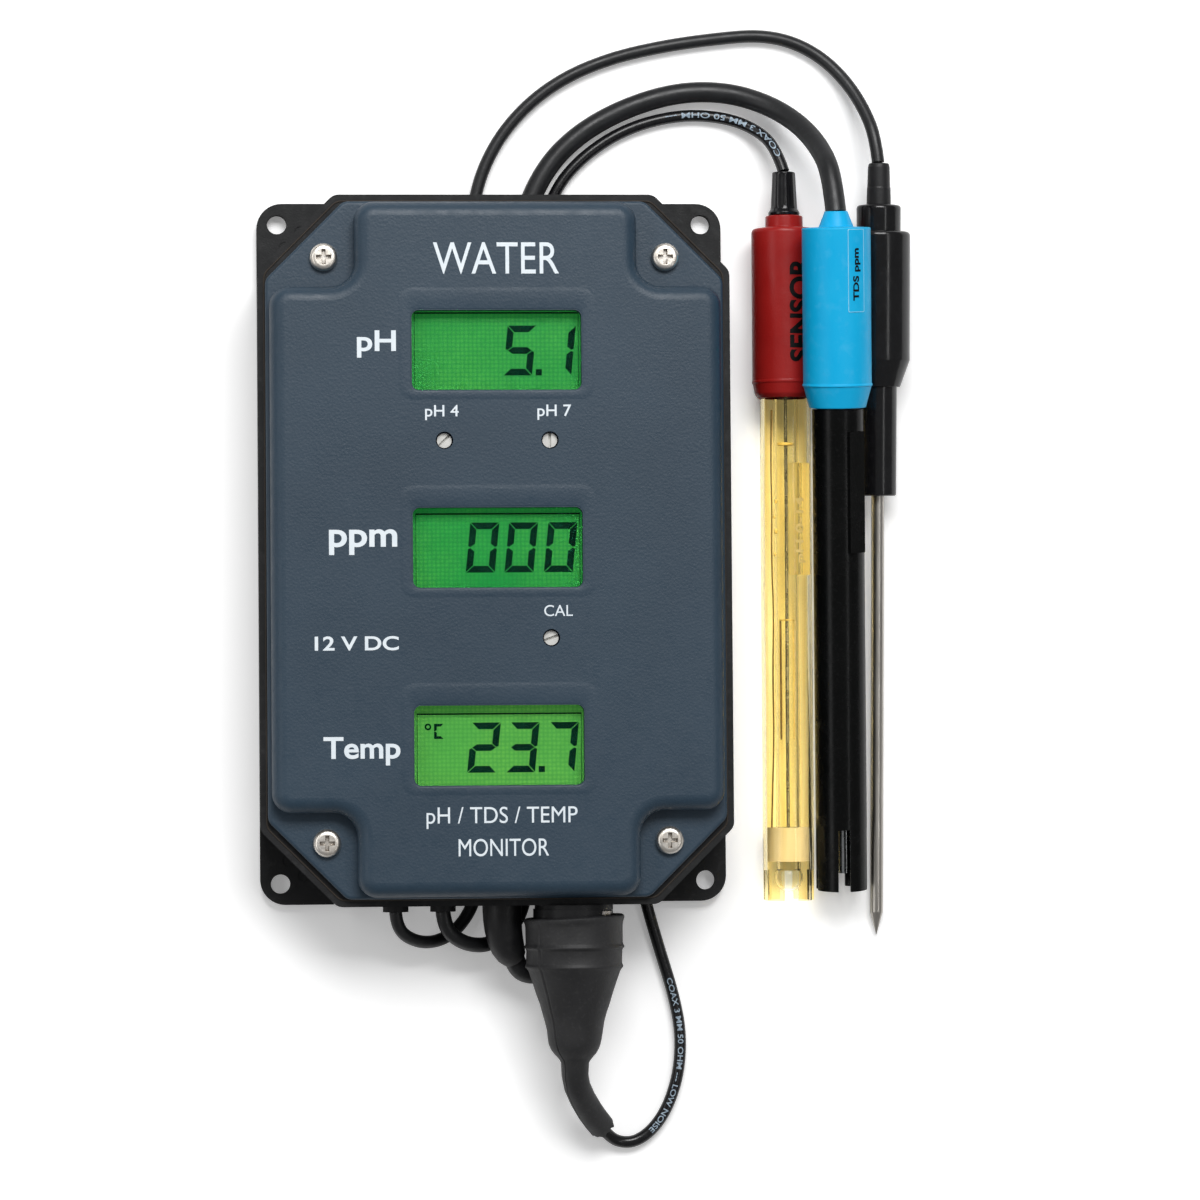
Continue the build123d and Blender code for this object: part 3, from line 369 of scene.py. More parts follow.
finishes = {
    "caseBlack": dict(on=["rear_case"], colour=(0.006, 0.0065, 0.007), drift=(0.013, 0.0135, 0.0145),
        rough=(0.5, 0.66), specular=0.28, grain=(0.35, 0.06), dust=(0.12, 0.12, 0.12), dustSize=2.2,
        dustAmount=0.14),
    "coverSlate": dict(on=["front_cover"], colour=(0.015, 0.036, 0.060), drift=(0.021, 0.045, 0.072),
        rough=(0.42, 0.54), patch=30, leather=(0.6, 0.032), grain=(0.2, 0.03), dust=(0.16, 0.18, 0.2),
        dustAmount=0.04),
    "sealRubber": dict(on=["case_seal"], colour=(0.035, 0.028, 0.022), drift=(0.05, 0.04, 0.032),
        rough=(0.5, 0.7), specular=0.3, grain=(0.5, 0.03)),
    # screw heads carry painted shade in their cross recesses
    "screwNickel": dict(on=["cover_screws", "board_screws"], colour=(0.82, 0.76, 0.68),
        drift=(0.90, 0.86, 0.80), rough=(0.3, 0.42), metal=1, patch=2, glossPatch=0.6, grain=(0.3, 0.01),
        crevice=0.6, recessShade=(0.14, 0.10, 0.07)),
    "boardGreen": dict(on=["main_board"], colour=(0.012, 0.13, 0.05), drift=(0.02, 0.18, 0.07),
        rough=(0.25, 0.4), grain=(0.8, 0.02)),
    "chipBlack": dict(on=["board_chips", "temp_sensor"], colour=(0.02, 0.02, 0.021),
        drift=(0.03, 0.03, 0.031), rough=(0.45, 0.6), grain=(0.2, 0.03)),
    "headerWhite": dict(on=["cable_headers", "power_socket"], colour=(0.70, 0.68, 0.60),
        drift=(0.78, 0.76, 0.69), rough=(0.4, 0.55), grain=(0.5, 0.02)),
    "cordBlack": dict(on=["inner_leads", "temp_cord", "power_cord", "tds_cord", "ph_cord"],
        colour=(0.009, 0.0095, 0.0105), drift=(0.014, 0.0145, 0.016), rough=(0.34, 0.46), patch=8,
        specular=0.4, grain=(0.6, 0.03), dust=(0.16, 0.16, 0.17), dustSize=0.9, dustAmount=0.06),
    "cordGloss": dict(colour=(0.005, 0.005, 0.006), drift=(0.009, 0.009, 0.010), rough=(0.2, 0.3),
        patch=8, specular=0.4, grain=(0.8, 0.02), dust=(0.16, 0.16, 0.17), dustSize=0.9, dustAmount=0.05),
    "glandBlack": dict(on=["temp_gland", "power_gland"], colour=(0.010, 0.010, 0.011),
        drift=(0.017, 0.017, 0.018), rough=(0.5, 0.62), specular=0.3, grain=(0.3, 0.03)),
    "reliefRubber": dict(on=["tds_relief", "temp_probe_relief"], colour=(0.008, 0.008, 0.009),
        drift=(0.013, 0.013, 0.014), rough=(0.4, 0.52), patch=6, specular=0.35, grain=(0.45, 0.04),
        dust=(0.12, 0.12, 0.12), dustAmount=0.08),
    "reliefGloss": dict(on=["ph_probe_relief"], colour=(0.004, 0.004, 0.005), drift=(0.007, 0.007, 0.008),
        rough=(0.16, 0.26), specular=0.45, grain=(0.8, 0.01)),
    "jackNickel": dict(on=["jack_body", "jack_nut", "plug_body"], colour=(0.55, 0.52, 0.47),
        drift=(0.68, 0.65, 0.60), rough=(0.14, 0.3), metal=1, patch=5, grain=(0.6, 0.01)),
    "washerBlack": dict(on=["jack_washer"], colour=(0.003, 0.003, 0.0035), drift=(0.007, 0.007, 0.008),
        rough=(0.35, 0.5), specular=0.25, grain=(0.3, 0.02)),
    "insulatorWhite": dict(on=["jack_insulator", "plug_insulator"], colour=(0.78, 0.78, 0.74),
        drift=(0.84, 0.84, 0.81), rough=(0.3, 0.45), grain=(0.4, 0.01)),
    "contactBrass": dict(on=["jack_contact", "plug_pin"], colour=(0.78, 0.58, 0.26),
        drift=(0.86, 0.68, 0.36), rough=(0.18, 0.3), metal=1, grain=(0.4, 0.01)),
    "sleeveNickel": dict(on=["plug_sleeve"], colour=(0.24, 0.225, 0.21), drift=(0.34, 0.32, 0.30),
        rough=(0.2, 0.32), metal=1, patch=4, grain=(0.5, 0.01)),
    "bootRubber": dict(on=["rubber_boot"], colour=(0.014, 0.014, 0.015), drift=(0.021, 0.021, 0.022),
        rough=(0.48, 0.6), patch=6, specular=0.4, grain=(0.5, 0.05), dust=(0.10, 0.10, 0.10),
        dustSize=0.8, dustAmount=0.16),
    "capRed": dict(on=["ph_probe_cap"], colour=(0.29, 0.009, 0.008), drift=(0.34, 0.013, 0.011),
        rough=(0.3, 0.4), patch=9, specular=0.28, grain=(0.5, 0.03)),
    "capBlue": dict(on=["tds_probe_cap"], colour=(0.0, 0.39, 0.73), drift=(0.006, 0.43, 0.76),
        rough=(0.36, 0.5), patch=7, specular=0.25, stretch=(1, 0.45, 1), grain=(0.5, 0.03),
        dust=(0.09, 0.5, 0.8), dustSize=2.4, dustAmount=0.3),
    "junctionCream": dict(on=["ph_junction"], colour=(0.64, 0.55, 0.42), drift=(0.68, 0.60, 0.47),
        rough=(0.45, 0.6), specular=0.3, grain=(0.3, 0.03)),
    "wireSilver": dict(on=["ph_silver_wire"], colour=(0.62, 0.60, 0.57), drift=(0.72, 0.70, 0.67),
        rough=(0.2, 0.35), metal=1, grain=(0.4, 0.01)),
    "tdsBlack": dict(on=["tds_sleeve"], colour=(0.0016, 0.0018, 0.0018), drift=(0.003, 0.0032, 0.0032),
        rough=(0.2, 0.3), patch=16, specular=0.15, grain=(1.2, 0.02), dust=(0.12, 0.12, 0.12),
        dustSize=0.6, dustAmount=0.04),
    "coreBlack": dict(on=["tds_probe_core"], colour=(0.005, 0.005, 0.005), drift=(0.009, 0.009, 0.009),
        rough=(0.4, 0.55), specular=0.3, grain=(0.5, 0.03)),
    "handleBlack": dict(on=["temp_probe_collar", "temp_probe_handle"], colour=(0.004, 0.004, 0.0045),
        drift=(0.007, 0.007, 0.008), rough=(0.15, 0.22), patch=12, specular=0.4, grain=(0.9, 0.015),
        dust=(0.16, 0.16, 0.16), dustSize=0.8, dustAmount=0.05),
    "needleSteel": dict(on=["temp_probe_needle"], colour=(0.46, 0.435, 0.395), drift=(0.56, 0.535, 0.49),
        rough=(0.28, 0.38), metal=1, patch=0.9, stretch=(1, 0.02, 1), glossPatch=0.5,
        grain=(0.35, 0.012)),
    "electrodeSteel": dict(on=["tds_electrodes"], colour=(0.42, 0.44, 0.45), drift=(0.52, 0.54, 0.55),
        rough=(0.2, 0.35), metal=1, patch=0.8, grain=(0.3, 0.01)),
    "backlightWhite": dict(on=["ph_backlight", "tds_backlight", "temp_backlight"],
        colour=(0.30, 0.50, 0.26), drift=(0.36, 0.56, 0.32), rough=(0.4, 0.55), grain=(0.6, 0.02)),
    "trimmerBlue": dict(on=["ph4_trimmer", "ph7_trimmer", "tds_trimmer"], colour=(0.03, 0.12, 0.42),
        drift=(0.04, 0.16, 0.50), rough=(0.35, 0.5), grain=(0.4, 0.02)),
    "rotorWhite": dict(on=["ph4_rotor", "ph7_rotor", "tds_rotor"], colour=(0.60, 0.60, 0.57),
        drift=(0.70, 0.69, 0.66), rough=(0.35, 0.5), patch=1.2, grain=(0.3, 0.02)),
    "printWhite": dict(colour=(0.72, 0.80, 0.86), drift=(0.80, 0.86, 0.90), rough=(0.5, 0.6), patch=2,
        grain=(0.2, 0.01)),
    "printBlack": dict(colour=(0.002, 0.002, 0.002), drift=(0.006, 0.005, 0.005), rough=(0.4, 0.55),
        specular=0.15, patch=2, grain=(0.2, 0.01)),
    "amberPlate": dict(colour=(0.80, 0.56, 0.16), drift=(0.86, 0.64, 0.24), rough=(0.2, 0.3), patch=3,
        grain=(0.5, 0.02)),
    "amberDark": dict(colour=(0.10, 0.055, 0.012), drift=(0.22, 0.13, 0.03), rough=(0.3, 0.4), patch=2,
        grain=(0.3, 0.01)),
    "printPale": dict(colour=(0.20, 0.27, 0.35), drift=(0.42, 0.52, 0.60), rough=(0.5, 0.6), patch=0.7,
        grain=(0.2, 0.01)),
    "labelEdge": dict(colour=(0.22, 0.62, 0.82), drift=(0.30, 0.68, 0.85), rough=(0.4, 0.5), patch=2,
        grain=(0.2, 0.01)),
    "segmentDark": dict(colour=(0.0, 0.010, 0.005), drift=(0.001, 0.016, 0.008), rough=(0.8, 0.9),
        specular=0.02, patch=3, grain=(0.2, 0.002)),
}
looks = {name: finish(name, values) for name, values in finishes.items()}

clearFinishes = {
    "phAmber": dict(on=["ph_probe_body"], colour=(0.99, 0.90, 0.61), drift=(0.94, 0.80, 0.44),
        band=(0.42, 0.62), patch=1.8, stretch=(1, 0.04, 1), clear=1.0, rough=0.02, ior=1.3,
        ripple=(2.5, 0.10), shadow=(0.998, 0.99, 0.955)),
    "stemGlass": dict(on=["ph_glass_stem"], colour=(0.99, 0.98, 0.92), drift=(0.93, 0.92, 0.80),
        band=(0.4, 0.7), patch=2, stretch=(1, 0.1, 1), clear=1.0, rough=0.02, ior=1.33,
        shadow=(0.985, 0.985, 0.97)),
    "windowClear": dict(on=["ph_window", "tds_window", "temp_window"], colour=(0.99, 1.0, 0.99),
        drift=(0.97, 0.99, 0.97), band=(0.3, 0.7), patch=20, stretch=(1, 1, 1), clear=1.0, rough=0.0,
        ior=1.12, shadow=(0.98, 0.99, 0.98)),
}
looks.update({name: clearPlastic(name, values) for name, values in clearFinishes.items()})


cell = dict(patch=22, dot=0.95, glow=0.85)


def litDisplay(name, values):
    # cell lit from behind, its glow a little uneven, with a fine dot screen
    material, tree, shader = startMaterial(name)
    drift = noiseNode(tree, cell["patch"])
    colour = blendColours(tree, remap(tree, drift, 0, 1), values["colour"], values["drift"])
    dots = cells(tree, cell["dot"], {"Randomness": 0.15})
    screen = remap(tree, dots, 0, 0.8, inLow=0.1, inHigh=0.6)
    colour = blendColours(tree, screen, colour, values["dotColour"])
    setInputs(tree, shader, {"Base Color": colour, "Emission Color": colour,
                             "Emission Strength": cell["glow"], "Specular IOR Level": 0.12,
                             "Roughness": remap(tree, drift, 0.3, 0.42),
                             "Normal": addBump(tree, dots, 0.01)})
    return material


displayFinishes = {
    "displayGreen": dict(on=["ph_display", "tds_display"], colour=(0.004, 0.120, 0.019),
        drift=(0.022, 0.165, 0.019), dotColour=(0.003, 0.088, 0.016)),
    "displayLime": dict(on=["temp_display"], colour=(0.028, 0.155, 0.024), drift=(0.062, 0.205, 0.026),
        dotColour=(0.020, 0.115, 0.019)),
}
looks.update({name: litDisplay(name, values) for name, values in displayFinishes.items()})
print("materials made:", len(looks))

for name, values in {**finishes, **clearFinishes, **displayFinishes}.items():
    for member in values.get("on", ()):
        node = nodes[member]
        node.data.materials.clear()
        node.data.materials.append(looks[name])
        for face in node.data.polygons:
            face.use_smooth = True
        node.data.set_sharp_from_angle(angle=math.radians(30))
print("CAD nodes painted")


# cords

cords = {
    "tempCord": dict(node="temp_cord", wide=2.9, length=318.1, skin="cordBlack", points=[
        (-22.8, -81.5, 12.8), (-22.6, -84.2, 12.6), (-20.6, -87.2, 10.8), (-16.0, -88.9, 7.4),
        (-11.0, -87.9, 3.9), (-7.0, -84.4, 1.9), (-4.2, -79.2, 1.45), (-2.8, -70.5, 1.45),
        (-3.0, -56.0, 1.45), (-4.2, -30.0, 1.45), (-5.0, 10.0, 1.45), (-5.0, 46.0, 1.45),
        (-4.6, 68.0, 1.45), (-3.3, 82.5, 1.45), (1.0, 93.3, 1.45), (8.0, 102.2, 1.45),
        (17.0, 109.0, 1.45), (28.0, 113.7, 1.45), (40.5, 116.6, 1.45), (52.5, 118.3, 1.45),
        (62.5, 119.2, 1.45), (70.5, 117.7, 1.45), (77.5, 113.8, 1.7), (83.0, 107.8, 3.4),
        (86.6, 101.0, 6.2), (88.5, 94.6, 8.9), (89.05, 88.9, 9.41)]),
    "powerCord": dict(node="power_cord", wide=3.4, length=76.7, skin="cordBlack", points=[
        (-12.1, -81.5, 12.8), (-11.8, -84.3, 12.6), (-9.9, -87.2, 11.6), (-6.2, -89.2, 9.2),
        (-1.8, -89.5, 6.1), (2.6, -87.3, 3.6), (5.9, -83.0, 2.2), (7.4, -77.0, 1.7),
        (7.0, -67.0, 1.7), (4.8, -49.5, 1.7), (3.6, -34.0, 1.7)]),
    "tdsCord": dict(node="tds_cord", wide=4.7, length=292.7, skin="cordBlack", points=[
        (3.9, -91.4, 9.6), (4.45, -93.8, 8.93), (6.6, -95.9, 7.3), (10.2, -96.1, 5.0),
        (13.8, -93.2, 3.1), (16.8, -88.0, 2.35), (18.3, -80.9, 2.35), (17.8, -69.0, 2.35),
        (15.6, -48.0, 2.35), (12.3, -12.0, 2.35), (9.0, 28.0, 2.35), (7.2, 58.0, 2.35),
        (7.4, 76.0, 2.35), (12.8, 88.2, 2.35), (20.8, 96.3, 2.35), (31.5, 102.2, 2.35),
        (43.5, 105.8, 2.35), (54.5, 105.9, 2.5), (63.6, 103.0, 4.9), (70.6, 98.0, 9.6),
        (74.9, 91.6, 15.6), (76.9, 84.6, 21.6), (77.5, 75.8, 23.2)]),
    "phCord": dict(node="ph_cord", wide=2.7, length=300.7, skin="cordGloss", points=[
        (24.2, -131.3, 4.6), (25.6, -133.2, 2.85), (28.4, -135.0, 1.6), (32.4, -134.9, 1.35),
        (36.7, -131.6, 1.35), (40.0, -126.2, 1.35), (42.3, -118.6, 1.35), (42.7, -109.8, 1.35),
        (41.0, -101.0, 1.35), (38.0, -91.2, 1.35), (34.9, -80.4, 1.35), (32.0, -68.0, 1.35),
        (28.4, -46.0, 1.35), (22.8, -10.0, 1.35), (16.6, 28.0, 1.35), (12.7, 56.0, 1.35),
        (12.1, 73.5, 1.35), (15.2, 83.6, 1.35), (22.0, 91.4, 1.35), (32.0, 97.7, 1.35),
        (44.0, 100.8, 1.35), (54.5, 100.2, 1.5), (61.6, 97.2, 3.4), (65.8, 92.6, 6.6),
        (67.35, 86.9, 8.3)]),
}
cordEnds = {"powerCord": ("connector", [nodes["power_socket"]])}


def splineCurve(name, points, wide):
    curve = bpy.data.curves.new(name, "CURVE")
    curve.dimensions = "3D"
    spline = curve.splines.new("NURBS")
    spline.points.add(len(points) - 1)
    for point, place in zip(spline.points, points):
        point.co = (*[c * mm for c in place], 1)
    spline.order_u = 3
    spline.use_endpoint_u = True
    spline.resolution_u = 10
    curve.bevel_depth = wide / 2 * mm
    curve.bevel_resolution = 8
    curve.use_fill_caps = True
    return curve


cordPrint = {
    "cordPrintLow": dict(words="COAX 3 MM 50 OHM --- LOW NOISE", cord="phCord", run=(14.0, 51.0), tall=1.25),
    "cordPrintHigh": dict(words="COAX 3 MM 50 OHM ---", cord="phCord", run=(266.0, 297.0), tall=1.25),
}


def printAlong(name, mark):
    # letters bent to follow a cord's own curve, on its upper side
    cord = cords[mark["cord"]]
    line = evaluated("guide", splineCurve("guide", cord["points"], 0))
    path = [v.co / mm for v in line.vertices]
    lengths = [0.0]
    for a, b in zip(path, path[1:]):
        lengths.append(lengths[-1] + (b - a).length)
    radius = cord["wide"] / 2
    low, high = mark["run"]
    box = (low, -mark["tall"] / 2, high, mark["tall"] / 2)
    data = lettering(name, mark["words"], box, 0.0, bold=0.01, grid=0.3)
    for v in data.vertices:
        x, y, lift = v.co / mm
        x = low + high - x
        i = max(k for k in range(len(path) - 1) if lengths[k] <= x)
        share = (x - lengths[i]) / (lengths[i + 1] - lengths[i])
        here = path[i].lerp(path[i + 1], share)
        along = (path[i + 1] - path[i]).normalized()
        side = along.cross(Vector((0, 0, 1))).normalized()
        up = side.cross(along)
        angle = y / radius
        outward = side * (radius + lift) * math.sin(angle)
        v.co = (here + outward + up * (radius + lift) * math.cos(angle)) * mm
    return addPiece(name, data, "printPale")


for name, mark in cordPrint.items():
    piece = printAlong(name, mark)
    farEnd, others = cordEnds.get(mark["cord"], ("object", []))
    cordEnds[mark["cord"]] = (farEnd, others + [piece])

for name, cord in cords.items():
    curve = splineCurve(name, cord["points"], cord["wide"])
    piece = addPiece(name, curve, cord["skin"], replaces=[cord["node"]])
    farEnd, others = cordEnds.get(name, ("object", []))
print("cords laid:", len(cords))


# lettering on the front

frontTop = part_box("front_cover")[1].z / mm
frontWords = {
    "topWord": ("WATER", (-14.1, 61.3, 14.1, 68.4), 0.0),
    "phWord": ("pH", (-31.2, 42.6, -22.5, 48.7), 0.02),
    "ph4Word": ("pH 4", (-16.1, 28.6, -8.6, 32.0), 0.008),
    "ph7Word": ("pH 7", (9.0, 28.6, 16.6, 32.0), 0.008),
    "ppmWord": ("ppm", (-37.7, -1.4, -22.5, 4.3), 0.02),
    "calWord": ("CAL", (10.2, -15.3, 16.6, -12.8), 0.0),
    "voltWord": ("12 V DC", (-41.0, -22.7, -22.3, -19.5), 0.02),
    "tempWord": ("Temp", (-39.2, -48.3, -22.1, -41.9), 0.02),
    "rangeWord": ("pH / TDS / TEMP", (-16.4, -62.5, 17.3, -57.7), 0.0),
    "monitorWord": ("MONITOR", (-9.3, -68.7, 10.9, -64.8), 0.0),
}
for name, (words, box, bold) in frontWords.items():
    addPiece(name, lettering(name, words, box, frontTop, bold), "printWhite")
print("front printed")


# display digits

opening = dict(wide=37.94, tall=17.84, corner=1.6)
digit = dict(wide=6.5, tall=11.2, thick=1.5, gap=0.25, slant=0.1, height=0.04)
segmentsOf = {"0": "abcdef", "1": "bc", "2": "abged", "3": "abgcd", "5": "afgcd", "7": "abc", "C": "afed"}
displays = {
    "ph": dict(y=45.3, drop=0.9, digits=[("5", 5.37), ("1", 14.2)], dots=[(9.6, 1.4)]),
    "tds": dict(y=0.24, drop=0.0, digits=[("0", -3.3), ("0", 5.37), ("0", 14.2)], dots=[]),
    "temp": dict(y=-44.5, drop=0.0, digits=[("2", -3.3), ("3", 5.37), ("7", 14.2)], dots=[(9.6, 1.4)]),
}


degree = dict(mark=(-15.8, -39.8), outer=0.76, inner=0.36, steps=20,
              letter=(-13.4, -40.8), wide=2.1, tall=3.4, thick=0.62)
# dark lines inside each display opening, along its top and sides: partly the cell's edge, partly painted
# shade where the opening's rim shades the cell
cellEdgeAndShade = dict(left=0.7, leftEnd=0.82, right=0.5, rightEnd=0.4, top=1.55, topEnd=1.2)


def mirrored(shape, across, up):
    return [(across * x, up * y) for x, y in shape]


def circle(x, y, radius, steps):
    angles = [k * math.tau / steps for k in range(steps)]
    return [(x + radius * math.cos(a), y + radius * math.sin(a)) for a in angles]


def segmentShapes(wide, tall, thick, gap):
    # the outlines of a seven-segment figure; each letter names one segment
    w = wide / 2
    h = tall / 2
    t = thick
    e = gap / 2
    top = [(-w + e, h), (w - e, h), (w - t - e, h - t), (-w + t + e, h - t)]
    middle = [(-w + t * 0.3 + e, 0), (-w + t + e, t / 2), (w - t - e, t / 2), (w - t * 0.3 - e, 0),
              (w - t - e, -t / 2), (-w + t + e, -t / 2)]
    upperRight = [(w, h - e), (w, t * 0.15 + e), (w - t * 0.35, e), (w - t, t / 2 + e), (w - t, h - t - e)]
    return {"a": top, "b": upperRight, "c": mirrored(upperRight, 1, -1), "d": mirrored(top, 1, -1),
            "e": mirrored(upperRight, -1, -1), "f": mirrored(upperRight, -1, 1), "g": middle}


def addPlates(points, faces, outline, z, height):
    # adds a thin plate with this outline
    count = len(outline)
    first = len(points)
    points += [(x, y, z) for x, y in outline] + [(x, y, z + height) for x, y in outline]
    faces.append(list(range(first + count, first + 2 * count)))
    faces.append(list(range(first + count - 1, first - 1, -1)))
    for i in range(count):
        j = (i + 1) % count
        faces.append([first + i, first + j, first + count + j, first + count + i])


def drawDigits(name, display):
    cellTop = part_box(name + "_display")[1].z / mm + 0.01
    outlines = []
    middle = display["y"] - display["drop"]
    shapes = segmentShapes(digit["wide"], digit["tall"], digit["thick"], digit["gap"])
    for figure, x in display["digits"]:
        for segment in segmentsOf[figure]:
            outlines.append([(x + u + v * digit["slant"], middle + v) for u, v in shapes[segment]])
    low = middle - digit["tall"] / 2
    for x, size in display["dots"]:
        half = size / 2
        outlines.append([(x - half, low), (x + half, low), (x + half, low + size), (x - half, low + size)])
    if name == "temp":
        small = segmentShapes(degree["wide"], degree["tall"], degree["thick"], 0.0)
        x, y = degree["letter"]
        for segment in segmentsOf["C"]:
            outlines.append([(x + u, y + v) for u, v in small[segment]])
        steps = degree["steps"]
        outer = circle(*degree["mark"], degree["outer"], steps)
        inner = circle(*degree["mark"], degree["inner"], steps)
        for k in range(steps):
            after = (k + 1) % steps
            outlines.append([outer[k], outer[after], inner[after], inner[k]])
    points = []
    faces = []
    for outline in outlines:
        addPlates(points, faces, outline, cellTop, digit["height"])
    left = -opening["wide"] / 2
    right = opening["wide"] / 2
    top = display["y"] + opening["tall"] / 2
    foot = display["y"] - opening["tall"] / 2
    topEnd = top - cellEdgeAndShade["topEnd"]
    rightEnd = right - cellEdgeAndShade["rightEnd"]
    # dark strips along the top and sides of the opening: the cell's edge, and painted shade under the rim,
    # thickest at the top
    for x1, y1, x2, y2 in ((left + cellEdgeAndShade["left"], top - cellEdgeAndShade["top"], rightEnd, topEnd),
                           (left + cellEdgeAndShade["left"], foot, left + cellEdgeAndShade["leftEnd"], topEnd),
                           (right - cellEdgeAndShade["right"], foot, rightEnd, topEnd)):
        addPlates(points, faces, [(x1, y1), (x2, y1), (x2, y2), (x1, y2)], cellTop, digit["height"] / 2)
    addPiece(name + "Digits", meshFrom(name + "Digits", points, faces), "segmentDark")


for name, display in displays.items():
    drawDigits(name, display)
print("digits drawn")


# raised pads round the displays, and the seal's lip

pad = dict(half=22.3, above=14.3, below=11.4, corner=2.6, lift=0.08, slope=1.3, edge=0.45,
           steps=6, edgeSteps=4, cornerGrowth=0.6)


def displayPad(name):
    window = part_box(name + "_window")
    y = (window[0].y + window[1].y) / 2 / mm
    bottom = window[1].z / mm
    top = frontTop + pad["lift"]
    loops = []
    for step in range(pad["steps"] + 1):
        share = step / pad["steps"]
        inset = pad["slope"] * share
        rise = pad["lift"] * (3 * share ** 2 - 2 * share ** 3)
        tall = pad["above"] + pad["below"] - 2 * inset
        loops.append(rectangle(0, y + (pad["above"] - pad["below"]) / 2, 2 * (pad["half"] - inset), tall,
                               pad["corner"] + pad["cornerGrowth"] - inset / 3, frontTop - 0.01 + rise))
    for step in range(pad["edgeSteps"] + 1):
        angle = step / pad["edgeSteps"] * math.pi / 2
        out = pad["edge"] * (1 - math.sin(angle))
        z = top - pad["edge"] * (1 - math.cos(angle))
        loops.append(rectangle(0, y, opening["wide"] + 2 * out, opening["tall"] + 2 * out,
                               opening["corner"] + out, z))
    loops.append(rectangle(0, y, opening["wide"], opening["tall"], opening["corner"], bottom))
    addPiece(name + "Pad", loft(name + "Pad", loops), "coverSlate")


for name in displays:
    displayPad(name)

caseShape = dict(half=(53.25, 80.0), cut=17.2, corner=3.0)


def octagon(inset, z):
    w = caseShape["half"][0] - inset
    h = caseShape["half"][1] - inset
    cut = caseShape["cut"] - inset * (2 - math.sqrt(2))
    c = caseShape["corner"]
    corners = [(w - cut, h, c), (cut - w, h, c), (-w, h - cut, c), (-w, cut - h, c),
               (cut - w, -h, c), (w - cut, -h, c), (w, cut - h, c), (w, h - cut, c)]
    return roundedOutline(corners, z)


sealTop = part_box("rear_case")[1].z / mm
lip = dict(inset=1.52, half=0.2, high=0.26, steps=6)
loops = []
for step in range(lip["steps"] + 1):
    angle = math.pi * step / lip["steps"]
    inset = lip["inset"] + lip["half"] * (1 - math.cos(angle)) - lip["half"]
    loops.append(octagon(inset, sealTop + lip["high"] * math.sin(angle)))
addPiece("sealLip", loft("sealLip", loops), "sealRubber")
print("pads and seal lip made")


# turned parts of the three probes

places = {
    "ph": lyingFrame((67.35, -79.9, 6.0), (67.35, 36.0, 7.6)),
    "tds": lyingFrame((79.5, -77.5, 6.35), (77.55, 73.0, 22.9)),
    "temp": lyingFrame((88.0, -88.3, 1.36), (88.9, 43.7, 7.35)),
}
turnedParts = {
    "redCap": dict(probe="ph", node="ph_probe_cap", skin="capRed", slot="ph_red", profile=[
        (5.92, 126.0), (5.92, 114.8, 0.1), (6.25, 114.7, 0.3), (7.0, 115.7, 1.4), (7.42, 118.0, 0.6),
        (7.62, 118.25, 0.1), (7.62, 118.6, 0.12), (7.5, 118.85, 0.3), (7.5, 153.6, 1.1), (4.3, 153.75, 0.3),
        (4.25, 156.5, 0.35), (3.4, 156.6, 0.1), (0, 156.6)]),
    "redRelief": dict(probe="ph", node="ph_probe_relief", skin="reliefGloss", slot="relief_gloss",
                      ribs=dict(count=9, depth=0.06, run=(158.5, 166)), profile=[
        (0, 156.62), (3.5, 156.62, 0.3), (3.62, 157.3, 0.3), (3.1, 158.1, 0.3), (2.98, 158.8, 0.4),
        (2.62, 165.9, 0.2), (2.66, 166.5, 0.25), (2.2, 166.65, 0.2), (1.45, 166.5, 0.1), (0, 166.4)]),
    "blueCap": dict(probe="tds", node="tds_probe_cap", skin="capBlue", slot="tds_blue", profile=[
        (4.75, 122.0), (4.75, 110.2, 0.1), (6.4, 110.1, 0.35), (7.72, 115.0, 0.2), (7.98, 115.15, 0.08),
        (7.95, 115.45, 0.1), (7.78, 115.7, 0.3), (7.8, 150.9, 0.35), (3.95, 151.1, 0.2), (3.75, 151.6, 0.4),
        (2.85, 153.9, 0.4), (2.6, 154.6, 0.2), (2.3, 154.65, 0.1), (0, 154.65)]),
    "handle": dict(probe="temp", node="temp_probe_handle", skin="handleBlack", slot="handle_black", profile=[
        (1.52, 118.0), (1.52, 101.1, 0.1), (3.9, 100.9, 0.2), (4.25, 101.2, 0.3), (4.3, 125.8, 0.05),
        (5.05, 125.9, 0.2), (7.25, 132.0, 0.9), (7.25, 161.4, 1.7), (5.2, 161.5, 0.2), (0, 161.5)]),
    "collar": dict(probe="temp", node="temp_probe_collar", skin="handleBlack", slot="handle_black", profile=[
        (0, 161.52), (5.05, 161.52, 0.1), (5.1, 167.5, 0.9), (2.9, 167.6, 0.1), (0, 167.6)]),
    "tempRelief": dict(probe="temp", node="temp_probe_relief", skin="reliefRubber",
                       slot="relief_rubber", profile=[
        (0, 167.62), (2.8, 167.62, 0.1), (2.72, 171.4, 0.5), (2.62, 171.7, 0.5), (2.5, 176.2, 0.5),
        (2.3, 177.1, 0.4), (1.5, 177.2, 0.1), (0, 177.15)]),
}


def ribWave(ribs):
    low, high = ribs["run"]

    def wave(angle, station):
        return ribs["depth"] * math.cos(ribs["count"] * angle) if low < station < high else 0

    return wave


for name, part in turnedParts.items():
    shape = ribWave(part["ribs"]) if "ribs" in part else None
    data = lathe(name, part["profile"], places[part["probe"]], turns=128, shape=shape)
    addPiece(name, data, part["skin"], replaces=[part["node"]])
print("probe parts turned")


def wrappedWords(name, words, probe, radius, turn, stations, tall, skin, lift=0.02, bold=0.0):
    # words that run along a probe, reading towards its cable
    low, high = stations
    flat = lettering(name, words, (low, -tall / 2, high, tall / 2), lift, bold, grid=0.4)
    for v in flat.vertices:
        v.co.x, v.co.y = -v.co.y, v.co.x
    wrap(flat, places[probe], radius, math.radians(turn))
    addPiece(name, flat, skin)


